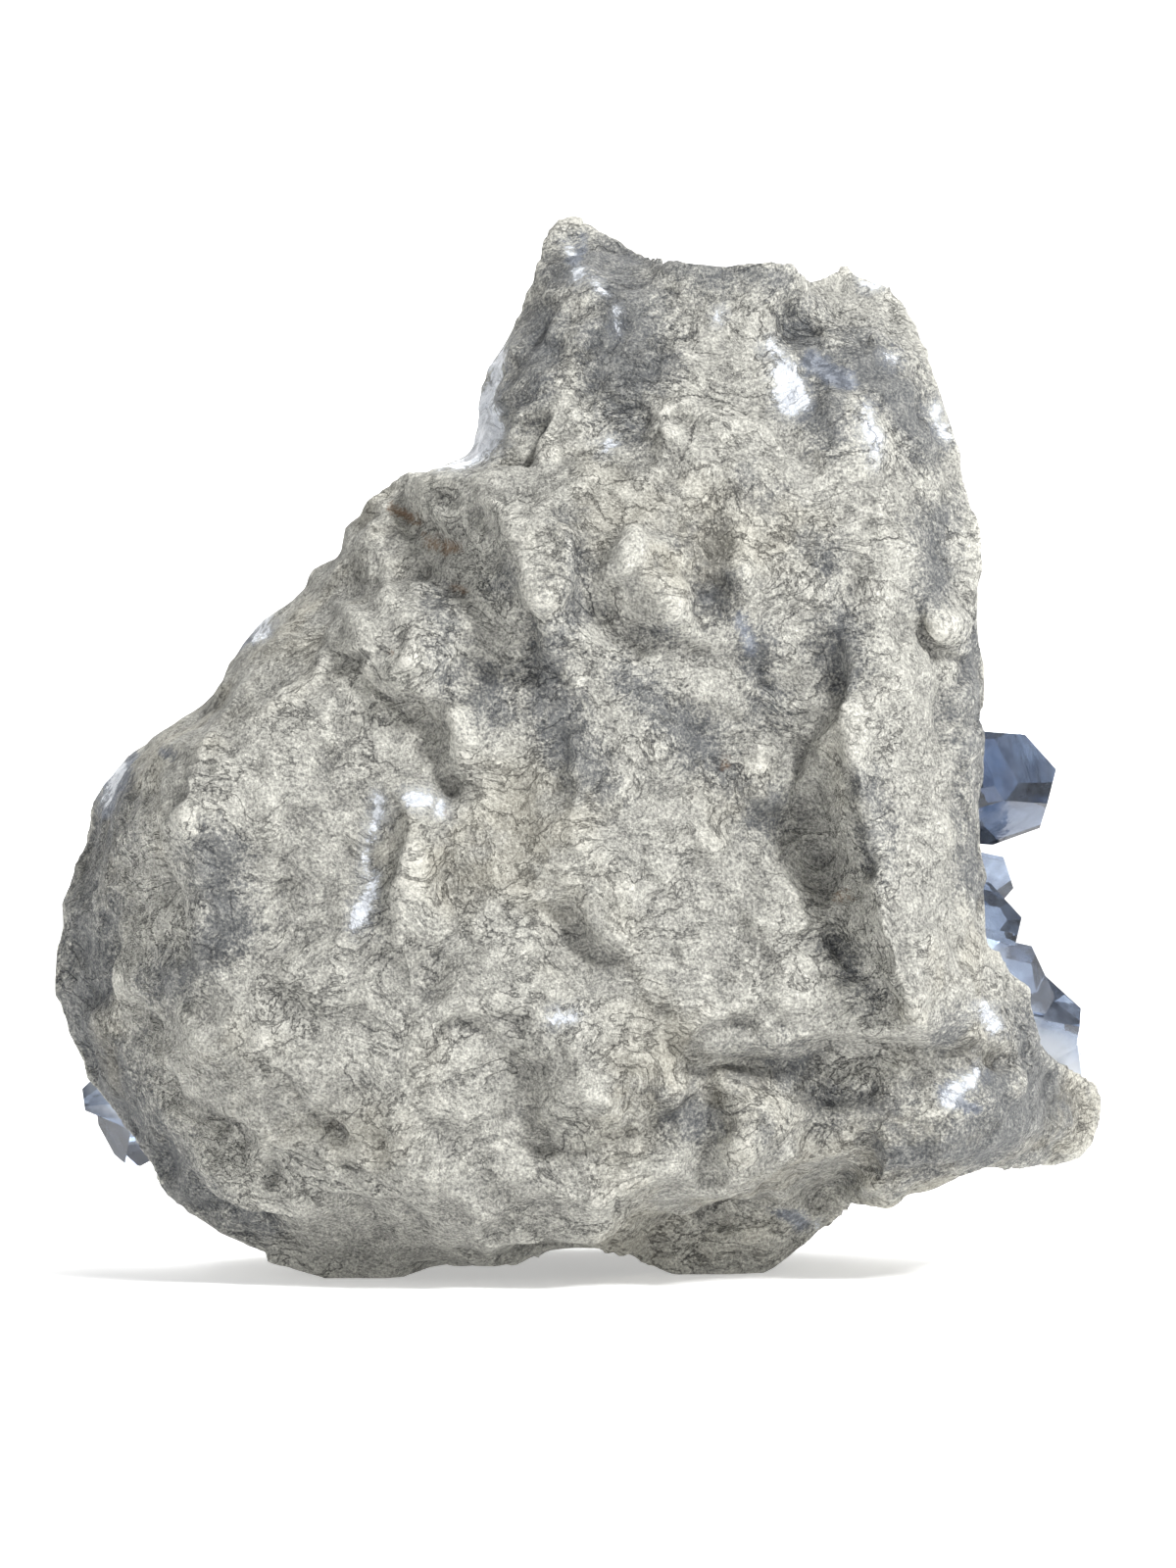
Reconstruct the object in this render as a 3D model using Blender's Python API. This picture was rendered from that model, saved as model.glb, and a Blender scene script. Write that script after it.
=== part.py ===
"""A celestite geode: a chunk of pale marl whose hollow far side is lined with blue celestite crystals.

The frame is in metres, +Z up, with the origin on the surface the geode stands on, under the middle of its
box. The weathered outside of the rock faces -Y, and the crystal-lined hollow faces +Y.
"""

import functools
import math
import random

import bmesh
import bpy
import numpy as np
from mathutils import Matrix, Vector, noise
from mathutils.geometry import delaunay_2d_cdt

MM = 0.001

# Overall dimensions, in millimetres. WIDTH and HEIGHT are the silhouette's, seen from the front.
EYE_DISTANCE = 1000.0
EYE_HEIGHT = 90.0
FLOOR_LEVEL = 1.5

# The rock is modelled in rings about an axis that runs from front to back through this point, x and z.
AXIS_X = -2.0
AXIS_Z = 72.0

RING_STEPS = 240
FACE_RINGS = 56
WALL_RINGS = 18
BACK_RINGS = 24
ROCK_TRIANGLES = 4400
OUTLINE_GRIP = 6

# The silhouette, clockwise from the peak. Each point is x, z and how far it stands out towards the front of
# the middle plane, all in millimetres. Places are as they line up on the middle plane for an eye in front.
SILHOUETTE = [
    # the far peak
    (-8.8, 173, -12), (-8.4, 175.2, -14), (-6.5, 177.6, -15), (-4, 181, -16), (0, 180.3, -16),
    (3, 178.5, -15), (6, 177, -13), (9, 175.8, -10), (11.5, 174, -2),
    # the top edge
    (14, 173.4, 8), (18, 173.6, 12), (23, 173.1, 13), (28, 173.1, 13), (31.5, 173.5, 13),
    (34, 172.7, 12), (36.3, 172.2, 10), (38.2, 170.2, 4),
    # the top right lobe
    (42, 171.2, -2), (46, 171.4, -3), (50, 169.8, -3), (53, 167, -2), (55.5, 163.5, 0), (56.5, 160, 3),
    # the right edge
    (58, 156.5, 6), (60.2, 152.3, 8), (61.3, 148, 8), (63, 143, 8), (63.9, 140, 8), (63.6, 137, 9),
    (64.6, 133, 9), (65.6, 127, 10), (65.9, 121, 10), (66.9, 116, 10), (66.2, 109, 9), (67.7, 106, 6),
    (68.3, 102, 6), (67.8, 98, 7), (66.8, 95.5, 12), (66.3, 85, 16), (66.6, 78, 17), (67.4, 72, 18),
    (67.7, 65, 18), (67.9, 57, 18),
    # the lower tier's edge
    (70.5, 54.5, 10), (74, 52, 6), (75.7, 48, 5), (76.3, 42, 4), (78, 38.6, -10),
    # the far right lobe
    (84.6, 34.6, -26), (86.4, 33, -30), (86.4, 28.5, -30), (85.4, 25, -28), (83.8, 22.4, -26),
    (81.5, 20.6, -24), (78, 19.4, -22), (72, 20, -12),
    # the bottom right edge and the foot
    (67, 18.8, -4), (63, 17.3, 0), (60, 16.1, 2), (55, 15.3, 6), (52.5, 13.6, 8), (50, 12.9, 8),
    (47, 13.2, 6), (44.2, 13.8, 0),
    # the middle lobe that it stands on
    (42.5, 12.3, -5), (41, 10, -6), (38, 7, -6), (34, 4, -5), (30, 1.3, -3), (26, 0.2, -2),
    (20, 0.2, -1), (15, 1, 0), (12, 2.6, 0), (8, 4, 1), (5, 5.3, 4),
    # the nose
    (3, 6.2, 12), (0, 6.4, 14), (-5, 6.1, 12), (-10, 4.8, 6), (-14, 3.8, 10), (-17, 3.4, 12),
    (-20, 3.2, 8), (-25, 3.1, 0), (-28, 3, 1),
    # the left lobe that it stands on
    (-30, 1.4, 4), (-33, 0.6, 6), (-37, 0.6, 7), (-45, 0.8, 7), (-50, 2.6, 6), (-55, 5.2, 3),
    (-60, 7.6, 2), (-65, 11, 2), (-70, 15.2, 4), (-73, 18.4, 4), (-76, 22.4, 0),
    # the left edge
    (-80, 28, -8), (-85.2, 34.8, -12), (-86.5, 38, -12), (-88.2, 41.5, -12), (-90, 47, -12),
    (-90.8, 51, -12), (-90.6, 55.5, -12), (-90, 60, -12), (-88.5, 66, -12), (-87.2, 70.5, -13),
    (-85.4, 74.5, -14), (-85, 78.5, -15), (-84.3, 81.3, -16), (-82.3, 84.5, -17), (-80, 88, -18),
    (-77.5, 90.8, -18), (-74.5, 92.5, -16), (-70, 95.5, -12), (-66, 98.2, -9), (-63, 101, -8),
    (-62, 103.8, -10), (-60.8, 106.6, -10), (-58, 109.5, -10), (-55, 113.3, -8), (-50, 116, -5),
    (-47.5, 118.7, -4), (-46.3, 121.6, -4), (-42.2, 124, 0), (-41.3, 128.6, 0), (-37, 132.6, 2),
    (-33, 136.2, 4), (-30, 138.4, 6), (-27, 138.6, 5),
    # the upper left edge
    (-20.5, 141, 0), (-18.8, 146, -2), (-17.8, 151, -3), (-17.2, 155, -4), (-15.4, 159, -5),
    (-14.2, 162, -6), (-11, 166, -7), (-9.6, 170, -9),
]

# The relief of the front, as crest, crease and foot lines, in the silhouette's terms.
RELIEF = {
    "right buttress": [
        [(43, 101, 35), (45, 96, 39), (45.5, 90, 42), (46.5, 83, 43), (48, 77, 43), (50, 72, 41),
         (49.5, 67, 44), (50.5, 60, 46), (52, 54, 46), (54.5, 48, 45), (55, 45, 41)],
        [(30, 96, 32), (34, 92, 29), (35.5, 87, 26), (36, 81, 26), (38, 75, 27), (41, 69, 28),
         (42, 62, 29), (45, 56, 31), (50, 52, 33), (52, 46, 35), (52.5, 42.5, 33)],
        [(57, 97, 30), (59, 88, 30), (60, 78, 31), (61, 68, 31), (62, 58, 31), (63, 50, 29)],
        [(64.5, 92, 20), (64.8, 80, 22), (65.5, 68, 24), (66, 57, 24), (66.3, 49, 22)],
        [(56, 44, 38), (60, 43.5, 34), (64, 44.5, 28), (67, 46, 22)],
    ],
    "lower right tier": [
        [(17, 38.5, 30), (25, 38, 28), (33, 37.5, 26), (41, 38.5, 25), (48, 39, 25), (52, 40, 26),
         (57, 39.5, 24), (62, 40, 22), (67, 42, 20), (70, 44, 18)],
        [(40, 29, 27), (50, 28, 28), (60, 29, 28), (68, 31, 25), (73, 32, 20)],
        [(50, 20, 25), (57, 20, 24), (64, 22, 22), (70, 24, 18), (74, 26, 12)],
        [(75, 45, 10), (75.5, 36, 10), (74.5, 29, 10)],
        [(77, 34, -8), (77.5, 27, -8)],
        [(80, 33, -16), (80, 27, -14)],
        [(83, 30, -22)],
    ],
    "foot": [
        [(48, 17, 18), (50, 15, 16), (52, 16, 16)],
        [(44, 19, 0), (41, 18, -2), (38, 17, -3)],
        [(33, 22, 26), (40, 22.8, 25), (47, 22.5, 24)],
    ],
    "middle lobe": [
        [(12, 11, 7), (22, 13, 6), (30, 15, 3), (35, 12, 0)],
        [(15, 7, 5), (20, 6, 4), (28, 8, 3), (33, 8, -1)],
    ],
    "lower rim": [
        [(5, 9, 18), (8, 12, 22), (12, 14.3, 25), (20, 15.2, 27), (27, 15.8, 27), (30, 18.5, 27),
         (33, 21.6, 26)],
        [(-8, 8.3, 25), (-4, 7.8, 26), (2, 8, 26), (5, 9.5, 24)],
        [(-10, 7.2, 6)],
    ],
    "boss over the middle lobe": [
        [(18.5, 38, 31), (19, 33, 30), (20.5, 28, 29), (20, 23, 30)],
        [(25, 33, 36), (27, 27, 37), (26, 20, 36), (24, 17, 33)],
        [(30, 30, 34), (31, 24, 32)],
    ],
    "middle boss": [
        [(-3, 41, 41), (0, 36, 43), (2, 31, 42)],
        [(-5, 32, 41)],
        [(-11, 35, 35), (-9.5, 29, 33), (-7, 25, 32.5), (-2, 22.5, 32), (4, 23, 32), (8.5, 25.5, 32),
         (9.5, 30, 34)],
        [(10, 36, 37), (14, 34, 36), (15, 29, 33)],
        [(-12, 17, 37), (-5, 15, 37.5), (3, 14, 36), (10, 18, 35), (15, 20, 34)],
    ],
    "nose": [
        [(-27, 19, 38), (-22, 14, 38), (-19, 9, 35), (-17, 5.5, 26)],
        [(-29, 14, 32), (-27, 8, 22), (-24, 5, 14)],
        [(-14, 12, 35), (-13, 8, 27)],
    ],
    "lower left flank": [
        [(-74, 40, 16), (-71.5, 35, 19), (-66, 31.5, 24), (-62, 26, 26), (-57, 20, 27), (-50, 16.5, 28),
         (-42, 17, 30), (-35, 17.5, 33)],
        [(-70, 27, 20), (-63, 20, 22), (-55, 14.5, 24), (-45, 12, 25), (-36, 12.5, 27), (-30, 12, 29)],
        [(-68, 19, 13), (-60, 13, 16), (-50, 9.5, 17), (-40, 8.5, 17), (-32, 7, 16), (-27, 5, 12)],
        [(-62, 10.5, 11), (-50, 6, 12), (-40, 5, 12), (-33, 4.5, 12)],
    ],
    "lower left boss": [
        [(-68, 45, 30), (-66, 40, 33), (-62, 36, 34), (-57, 32, 35), (-50, 30, 37)],
        [(-60, 42, 36), (-52, 38, 38), (-45, 35, 39), (-36, 32, 40)],
        [(-42, 27, 37), (-43, 24, 35), (-37, 22, 37), (-30, 26, 40), (-28, 35, 41)],
        [(-22, 30, 41), (-15, 25, 38), (-18, 20, 38)],
        [(-20, 38, 40), (-40, 42, 40)],
        [(-26, 42.5, 38.5), (-20, 44, 38), (-15, 41, 38), (-13, 36, 37)],
    ],
    "left shoulder": [
        [(-62.5, 97, 27), (-66, 92, 34), (-68.5, 86, 37), (-68.5, 79, 37), (-66.5, 72, 36), (-66, 66, 34),
         (-67, 60, 32), (-66, 52, 31), (-67, 46, 29)],
        [(-71.5, 92, 22), (-74, 86, 24), (-75, 79, 25), (-73.5, 73, 25), (-71, 68, 25), (-72.5, 62, 24),
         (-71, 56, 24), (-70.5, 49, 23), (-73, 43, 17)],
        [(-63, 88, 37.5), (-60, 80, 37), (-56, 77, 36.5)],
    ],
    "left band": [
        [(-77, 88, 4), (-80, 80, 8), (-82, 72, 5), (-84, 60, 2), (-85, 52, 1), (-82, 44, 4), (-81, 35, 0)],
        [(-73, 91, 12)],
        [(-76, 68, 17), (-79, 60, 11), (-79, 52, 12), (-78, 40, 8), (-76, 33, 10), (-72, 27, 14)],
    ],
    "pane": [
        [(-58, 94, 33), (-57, 88, 34.5), (-52, 84, 34), (-45, 84, 33.5)],
        [(-50, 103, 28), (-45, 98, 30.5), (-38, 100, 30)],
        [(-55, 98, 30), (-45, 91, 32), (-35, 92, 31.5), (-28, 94, 30.5)],
        [(-30, 88, 32), (-38, 86, 33)],
        [(-40, 105.5, 28.5), (-36, 101.5, 28.5), (-31, 98.8, 29), (-27, 97, 29), (-25, 93, 28.5),
         (-25.2, 88, 29), (-24, 85.5, 31)],
        [(-39.5, 108, 33), (-35, 104.5, 34), (-30, 101.5, 35), (-25.5, 99.5, 35.5), (-22, 96, 35.5),
         (-20.5, 91, 35.5), (-21.5, 87.5, 35)],
        [(-38, 110, 34), (-33, 107.5, 36.5), (-28, 105, 37), (-24, 107, 36)],
        [(-40, 115, 29), (-35, 114, 31), (-30, 113, 31), (-24, 113, 31)],
        [(-56, 106, 18), (-50, 108.5, 20), (-46, 110, 23), (-42, 111, 26)],
    ],
    "upper left lumps": [
        [(-52, 113, 6), (-46, 117, 8), (-43, 122, 8), (-38, 128, 12)],
        [(-40, 118, 16), (-36, 122, 18), (-34, 118, 24)],
        [(-35, 131, 10), (-32, 133, 8), (-30, 131, 9)],
        [(-28, 136, 14)],
        [(-26, 127, 19), (-29, 124, 17), (-29, 120, 20), (-25, 118, 24)],
    ],
    "upper left block": [
        [(-24, 136.5, 20), (-17, 137.8, 26), (-9, 137.5, 30), (0, 137.5, 32), (6, 136, 33)],
        [(-17, 140.3, 18), (-9, 140, 23), (0, 140.2, 26), (5, 139.5, 27)],
        [(-16, 133, 34), (-13.5, 127, 39), (-11, 121, 41), (-9, 115, 41), (-5, 112.5, 40)],
        [(-26, 131, 21), (-23.5, 124, 25), (-21, 118, 28), (-18, 113.5, 31), (-14, 110.5, 34)],
        [(-8, 132, 38), (-3, 126, 42), (-5, 119, 43)],
        [(3.5, 134, 34), (2.5, 128, 37.5), (0.5, 121, 40)],
        [(8, 130, 38), (7, 124, 42), (12, 119.5, 42), (14.5, 115, 41), (15.5, 112, 39)],
        [(-1, 113.5, 37), (4, 110.8, 35), (9, 109.8, 35), (13, 109.5, 36), (16, 108.5, 36.5)],
        [(5, 105, 37.5), (10, 104, 37)],
    ],
    "right shoulder": [
        [(20, 128, 33), (18, 122, 35), (19, 113, 34.5)],
        [(23, 117, 34)],
        [(26.5, 128, 34), (27, 121, 36), (26.5, 114, 36), (24, 112.5, 36), (20, 110, 36.5)],
        [(30, 124, 33), (31, 116, 33.5), (32, 108, 34)],
        [(36, 124, 32.5), (38, 118, 32), (42, 112, 33)],
        [(50, 120, 31), (50, 110, 32)],
        [(20, 137, 31), (30, 135, 31), (40, 135, 30), (50, 135, 27), (58, 133, 19)],
        [(45, 128, 31), (55, 128, 25)],
        [(58, 118, 23), (60, 112, 25), (63, 109, 21)],
        [(55.5, 115, 24), (57.5, 109.5, 22), (61, 106.3, 18), (65, 107, 12)],
        [(60, 104, 20), (63, 100, 17), (62, 95, 18)],
        [(58.5, 104, 25), (59.8, 99, 22)],
        [(66, 101, 12)],
        [(53, 104, 33), (48, 106, 34), (45, 104, 34.5), (41, 104, 32), (38, 98, 31.5)],
    ],
    "central plain": [
        [(2.5, 108, 39), (1, 101, 39), (-1, 94, 39), (-1.5, 86, 39.5), (-2.5, 78, 40), (-1, 71, 40)],
        [(-6, 104, 36), (-9, 97, 34.5), (-12, 90, 34), (-12, 82, 34.5), (-10, 76, 36)],
        [(-16, 105, 33), (-18, 98, 34), (-17, 90, 35), (-17, 83, 36)],
        [(-22, 108, 32), (-22, 101, 33)],
        [(8, 100, 37.5), (10, 92, 36.5), (10, 84, 37), (10, 76, 38)],
        [(17, 103, 34.5), (18, 97, 33), (21, 92, 32.5)],
        [(20, 82, 34.5), (20, 74, 36)],
        [(27, 100, 33), (27, 91, 31.5), (29, 84, 31), (30, 76, 32), (33, 70, 32.5), (36, 64, 33)],
        [(-5, 65, 39), (-6, 63, 37), (-4, 59.5, 37), (-2, 57, 37)],
        [(5, 60, 39), (5, 52, 39), (10, 46, 40), (12, 41.5, 38.5)],
        [(12, 64, 38), (15, 55, 38.5), (25, 53, 37)],
        [(22, 62, 36), (33, 59, 34), (35, 54, 36), (40, 50, 35)],
        [(22, 45, 39), (30, 48, 38)],
        [(30, 42.5, 38), (38, 44, 37)],
        [(0, 46, 41)],
        [(16, 41, 36), (24, 40.8, 36.5), (32, 40.5, 36), (40, 41.5, 35), (46, 42.5, 34), (50, 43, 34)],
    ],
    "left ridge": [
        [(-31, 81, 37), (-30.5, 74, 39.5), (-32, 66, 40), (-32, 58, 41), (-30, 50, 41.5), (-27, 45, 41)],
        [(-37, 82, 33.5), (-36.5, 76, 33), (-36, 70, 33), (-38.5, 64, 34), (-40, 59, 36)],
        [(-23.5, 78, 36.5), (-23.5, 71, 36), (-23, 64, 36.5), (-19.5, 59, 37)],
        [(-15, 70, 38), (-12, 62, 38), (-14, 52, 40), (-8, 50, 40), (-18, 47, 40)],
        [(-45, 78, 34.5), (-52, 72, 34), (-45, 70, 34.5), (-50, 62, 33.5), (-45, 56, 35), (-38, 53, 38)],
        [(-60, 68, 34), (-58, 58, 33), (-60, 50, 34), (-60, 46, 34.5)],
        [(-52, 50, 35), (-42, 48, 37), (-50, 44, 37)],
    ],
    "upper slope": [
        [(-13, 158, 8), (-10, 155, 14), (-14, 150, 14), (-10, 145, 19)],
        [(-6, 168, 6), (-4, 160, 14), (-5, 150, 19), (0, 145, 24)],
        [(0, 170, 9), (0, 165, 13)],
        [(8, 168, 13), (8, 158, 18), (8, 150, 22), (3, 142, 23.5)],
        [(14, 165, 15), (20, 155, 21), (15, 152, 22.5)],
        [(10.5, 148.3, 25.5), (9, 143.5, 27)],
        [(12.5, 146, 30), (16, 142.5, 30.5)],
        [(22, 169, 14), (22, 162, 17), (28, 158, 20)],
        [(30, 166, 15), (32, 168, 14)],
        [(18, 151.5, 23), (24, 151.3, 22.5), (29.5, 149.8, 22.5), (33, 146.5, 24), (36.5, 141.5, 27)],
        [(18, 149.5, 26), (23.5, 149.5, 26), (28.5, 148, 26), (31.5, 145, 27.5), (35, 140.5, 29)],
        [(33, 161, 12), (35, 163.5, 9), (38, 162.5, 9.5), (37, 166.5, 10)],
        [(42, 163.5, 7), (48, 162.5, 7), (54, 161.5, 4)],
        [(41, 161.3, 15), (48, 160.3, 15), (54.5, 159.8, 10)],
        [(44, 168, 3), (50, 166, 3)],
        [(34, 154, 19), (40, 150, 24), (45, 155, 20), (50, 150, 21), (55, 152, 15)],
        [(42, 143, 27.5), (47, 143, 27), (55, 142, 20), (60, 142, 13)],
    ],
}
LINE_STEP = 3.0


def true_place(x, z, out):
    """Where a point seen at x, z on the middle plane really is, standing out towards the eye."""
    nearer = 1 - out / EYE_DISTANCE
    return x * nearer, (z - EYE_HEIGHT) * nearer + EYE_HEIGHT, out


def in_space(x, z, out):
    """The same place as a point in space."""
    x, z, out = true_place(x, z, out)
    return Vector((x, -out, z))


def dense(line, step):
    """The line with points no more than a step apart."""
    found = [line[0]]
    for start, end in zip(line, line[1:]):
        count = max(1, math.ceil(math.dist(start[:2], end[:2]) / step))
        for i in range(1, count + 1):
            found.append(tuple(a + (b - a) * i / count for a, b in zip(start, end)))
    return found


def relief_triangles():
    """The surveyed points of the front, joined into triangles: an array of n x 3 corners x (x, z, out)."""
    lines = [dense(SILHOUETTE + SILHOUETTE[:1], LINE_STEP)[:-1]]
    for group in RELIEF.values():
        lines += [dense(line, LINE_STEP) for line in group]
    points = np.array([true_place(*p) for line in lines for p in line])
    flat = [Vector(p[:2]) for p in points]
    places, _, faces, sources, _, _ = delaunay_2d_cdt(flat, [], [], 0, 1e-4)
    outs = [points[source[0]][2] for source in sources]
    corners = np.array([(*place, out) for place, out in zip(places, outs)])
    return corners[np.array(faces)]


def relief_at(x, z, triangles):
    """How far the front stands out at each x, z, read off the triangles."""
    out = np.full(x.shape, np.nan)
    for a, b, c in triangles:
        det = (b[1] - c[1]) * (a[0] - c[0]) + (c[0] - b[0]) * (a[1] - c[1])
        if abs(det) < 1e-9:
            continue
        u = ((b[1] - c[1]) * (x - c[0]) + (c[0] - b[0]) * (z - c[1])) / det
        v = ((c[1] - a[1]) * (x - c[0]) + (a[0] - c[0]) * (z - c[1])) / det
        inside = (u > -1e-6) & (v > -1e-6) & (u + v < 1 + 1e-6)
        out[inside] = (u * a[2] + v * b[2] + (1 - u - v) * c[2])[inside]
    return out


@functools.cache
def surveyed_outline():
    """The silhouette about the axis: its angles in order, and the radius and the standing out at each."""
    points = np.array([true_place(*p) for p in dense(SILHOUETTE + SILHOUETTE[:1], LINE_STEP)[:-1]])
    across, up = points[:, 0] - AXIS_X, points[:, 1] - AXIS_Z
    around = np.arctan2(up, across) % math.tau
    order = np.argsort(around)
    return around[order], np.hypot(across, up)[order], points[order, 2]


def silhouette_at(angles):
    """The silhouette's radius about the axis, and how far out it stands, at each angle."""
    around, radius, out = surveyed_outline()
    return np.interp(angles, around, radius, period=math.tau), np.interp(angles, around, out, period=math.tau)


# The broken edge behind the silhouette: the angle about the axis in degrees, from +X towards +Z, and the
# place along Y where the rock ends. It is low where the crystals show past the edge.
BROKEN_EDGE = [
    (0, 5), (12, 5), (20, 7), (25, 14), (32, 34), (40, 48), (50, 52), (62, 50), (75, 45), (86, 40),
    (95, 32), (102, 28), (110, 30), (122, 46), (138, 56), (160, 60), (180, 61), (194, 56), (200, 40),
    (204, 24), (214, 22), (222, 40), (236, 55), (255, 60), (285, 61), (305, 59), (320, 57), (332, 52),
    (336.5, 42), (338.5, 24), (342, 12), (350, 6),
]
EDGE_CHIPS = 3.5
EDGE_CHIP_TURNS = 7.0
DEEPEST_EDGE = 62.0
SIDE_TAPER = 0.12
SIDE_DEPTH = 80.0
EVEN_UNDERNEATH = 0.8
LUMP_SIZE = 30.0
LUMP_DEPTH = 9.0
LUMP_CREASE = 0.45
DENT_SIZE = 11.0
DENT_DEPTH = 2.0
WORN_REACH = 0.09
WORN_SAMPLES = 7

# The hollow, and the rind that its crystals grow from. The wall is thin where the edge is low.
FLOOR_OF_HOLLOW = -8.0
WALL = 12.0
THIN_WALL = 3.0
HOLLOW_STEPS = 36
HOLLOW_RINGS = (0.22, 0.44, 0.62, 0.77, 0.89, 0.985, 1.0)
LIP = 2.0
RIND_GAP = 0.45
RIND_BEFORE_CUT = -1.5
EDGE_GAP = 1.5
RIND = 7.0
PAST_THE_EDGE = 100.0
SLIVER = 0.02

# Celestite's cell lengths, which set the angles between a crystal's faces, and the faces that it shows.
CELL = np.array((8.359, 5.352, 6.866))
PRISM_FACES = [(0, 1, 1), (0, 1, -1), (0, -1, 1), (0, -1, -1)]
FLAT_FACES = [(0, 0, 1), (0, 0, -1)]
END_FACES = [(1, 0, 1), (1, 0, -1), (2, 1, 0), (2, -1, 0)]
ROOT_DEPTH = 3.0

# The crystals seen past the rock's edge, in the silhouette's terms: root, tip, width, flatness and turn.
EDGE_CRYSTALS = [
    ((50, 87, -7), (77.0, 85, -26), 23, 0.9, 20),
    ((50, 73, -8), (72.0, 68.5, -26), 9, 0.7, 60),
    ((51, 64, -8), (73.0, 60, -24), 11, 0.9, 10),
    ((54, 55, -10), (77.0, 50, -30), 13, 0.8, 40),
    ((56, 48, -16), (81.0, 43.5, -36), 13, 0.8, 0),
    ((58, 46, -24), (82.5, 36.5, -43), 12, 0.7, 70),
    ((-62, 40, -22), (-83.0, 29.5, -35), 12, 0.8, 20),
    ((-58, 37, -26), (-81.0, 24.5, -37), 12, 0.7, 80),
]
BACK_END = 0.25
BED_CRYSTALS = 88
BED_SEED = 11
BED_SPACING = 0.72
BED_WIDTHS = (11, 21)
BED_CROWDING = 0.35
BED_REACH = 0.97
BED_LENGTHS = (0.7, 1.5)
BED_LEAN = 0.4
BED_TRIES = 6000
FLAT_FROM = 14.0


def smooth_step(value):
    """Runs from 0 to 1, flat at both ends."""
    value = np.clip(value, 0, 1)
    return value * value * (3 - 2 * value)


@functools.cache
def edge_outline():
    """Where the rock ends along Y, at even steps: straight from one to the next, with small chips."""
    keys = np.array(BROKEN_EDGE)
    angles = steps_about(HOLLOW_STEPS)
    smooth = np.interp(angles, np.radians(keys[:, 0]), keys[:, 1], period=math.tau)
    turns = [Vector((math.cos(a), math.sin(a), 0)) * EDGE_CHIP_TURNS for a in angles]
    return angles, smooth - np.array([abs(noise.noise(t)) for t in turns]) * EDGE_CHIPS


def broken_edge_at(angles):
    """Where the rock ends along Y at each angle."""
    return np.interp(angles, *edge_outline(), period=math.tau)


@functools.cache
def worn_outline():
    """The outline's radius at even steps with its small points and bays worn away, as it is behind."""
    angles = steps_about(RING_STEPS)
    turns = np.linspace(-WORN_REACH, WORN_REACH, WORN_SAMPLES)
    worn = [np.min([silhouette_at(angles + a + b)[0] for a in turns], axis=0) for b in turns]
    return angles, np.mean(worn, axis=0)


def unevenness(angles):
    """How much of the sides' taper and lumps there is at each angle: little underneath, where it stands."""
    return 1 - EVEN_UNDERNEATH * np.clip(-np.sin(angles), 0, 1) ** 2


def side_radius(angles, y):
    """The radius of the rock's side at each angle and place along Y behind the silhouette."""
    radius, out = silhouette_at(angles)
    behind = np.clip((y + out) / SIDE_DEPTH, 0, 1)
    worn = smooth_step(behind * 2.5) * unevenness(angles)
    back = np.interp(angles, *worn_outline(), period=math.tau)
    return (radius * (1 - worn) + back * worn) * (1 - SIDE_TAPER * unevenness(angles) * behind ** 2)


def lump_depth(point):
    """How far the side is worn in at a point: creases between lumps, and small dents."""
    near, next_near = noise.voronoi(Vector(point) / LUMP_SIZE)[0][:2]
    crease = max(0, 1 - (next_near - near) / LUMP_CREASE)
    dent = abs(noise.noise(Vector(point) / DENT_SIZE))
    return LUMP_DEPTH * crease * crease + DENT_DEPTH * dent


@functools.cache
def mouth_outline():
    """The hollow's radius at its mouth, at even steps, with the outline's small bays smoothed away."""
    angles = steps_about(RING_STEPS)
    edge = broken_edge_at(angles)
    turns = np.linspace(-WORN_REACH, WORN_REACH, WORN_SAMPLES)
    nearest = [side_radius(angles + turn, edge) for turn in turns]
    low = 1 - np.clip(edge / DEEPEST_EDGE, 0, 1)
    return angles, np.min(nearest, axis=0) - WALL + (WALL - THIN_WALL) * low ** 2


def hollow_mouth(angles):
    """The hollow's radius at its mouth at each angle."""
    return np.interp(angles, *mouth_outline(), period=math.tau)


def hollow_level(fraction, angles):
    """The place along Y of the hollow's surface, at a fraction of its mouth's radius."""
    edge = broken_edge_at(angles) - LIP
    steepness = 2 + 2 * np.clip(edge / DEEPEST_EDGE, 0, 1)
    return FLOOR_OF_HOLLOW + (edge - FLOOR_OF_HOLLOW) * fraction ** steepness


def ring(radius, angles, y):
    """The points at the given radius about the axis and place along Y."""
    radius, y = np.broadcast_to(radius, angles.shape), np.broadcast_to(y, angles.shape)
    across = AXIS_X + radius * np.cos(angles)
    up = AXIS_Z + radius * np.sin(angles)
    return np.column_stack((across, y, up))


def steps_about(count):
    """Evenly spaced angles about the axis."""
    return np.arange(count) * math.tau / count


def solid_of_rings(rings):
    """A closed mesh that runs from the first ring's middle, over the rings, to the last ring's middle."""
    bm = bmesh.new()
    made = [[bm.verts.new(p) for p in points] for points in rings]
    count = len(made[0])
    for lower, upper in zip(made, made[1:]):
        for i in range(count):
            j = (i + 1) % count
            bm.faces.new((lower[i], lower[j], upper[j], upper[i]))
    for points, verts in ((rings[0], made[0]), (rings[-1], made[-1])):
        middle = bm.verts.new(np.mean(points, axis=0))
        for i in range(count):
            bm.faces.new((verts[i], verts[(i + 1) % count], middle))
    bmesh.ops.triangulate(bm, faces=bm.faces)
    bmesh.ops.recalc_face_normals(bm, faces=bm.faces)
    return bm


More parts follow.
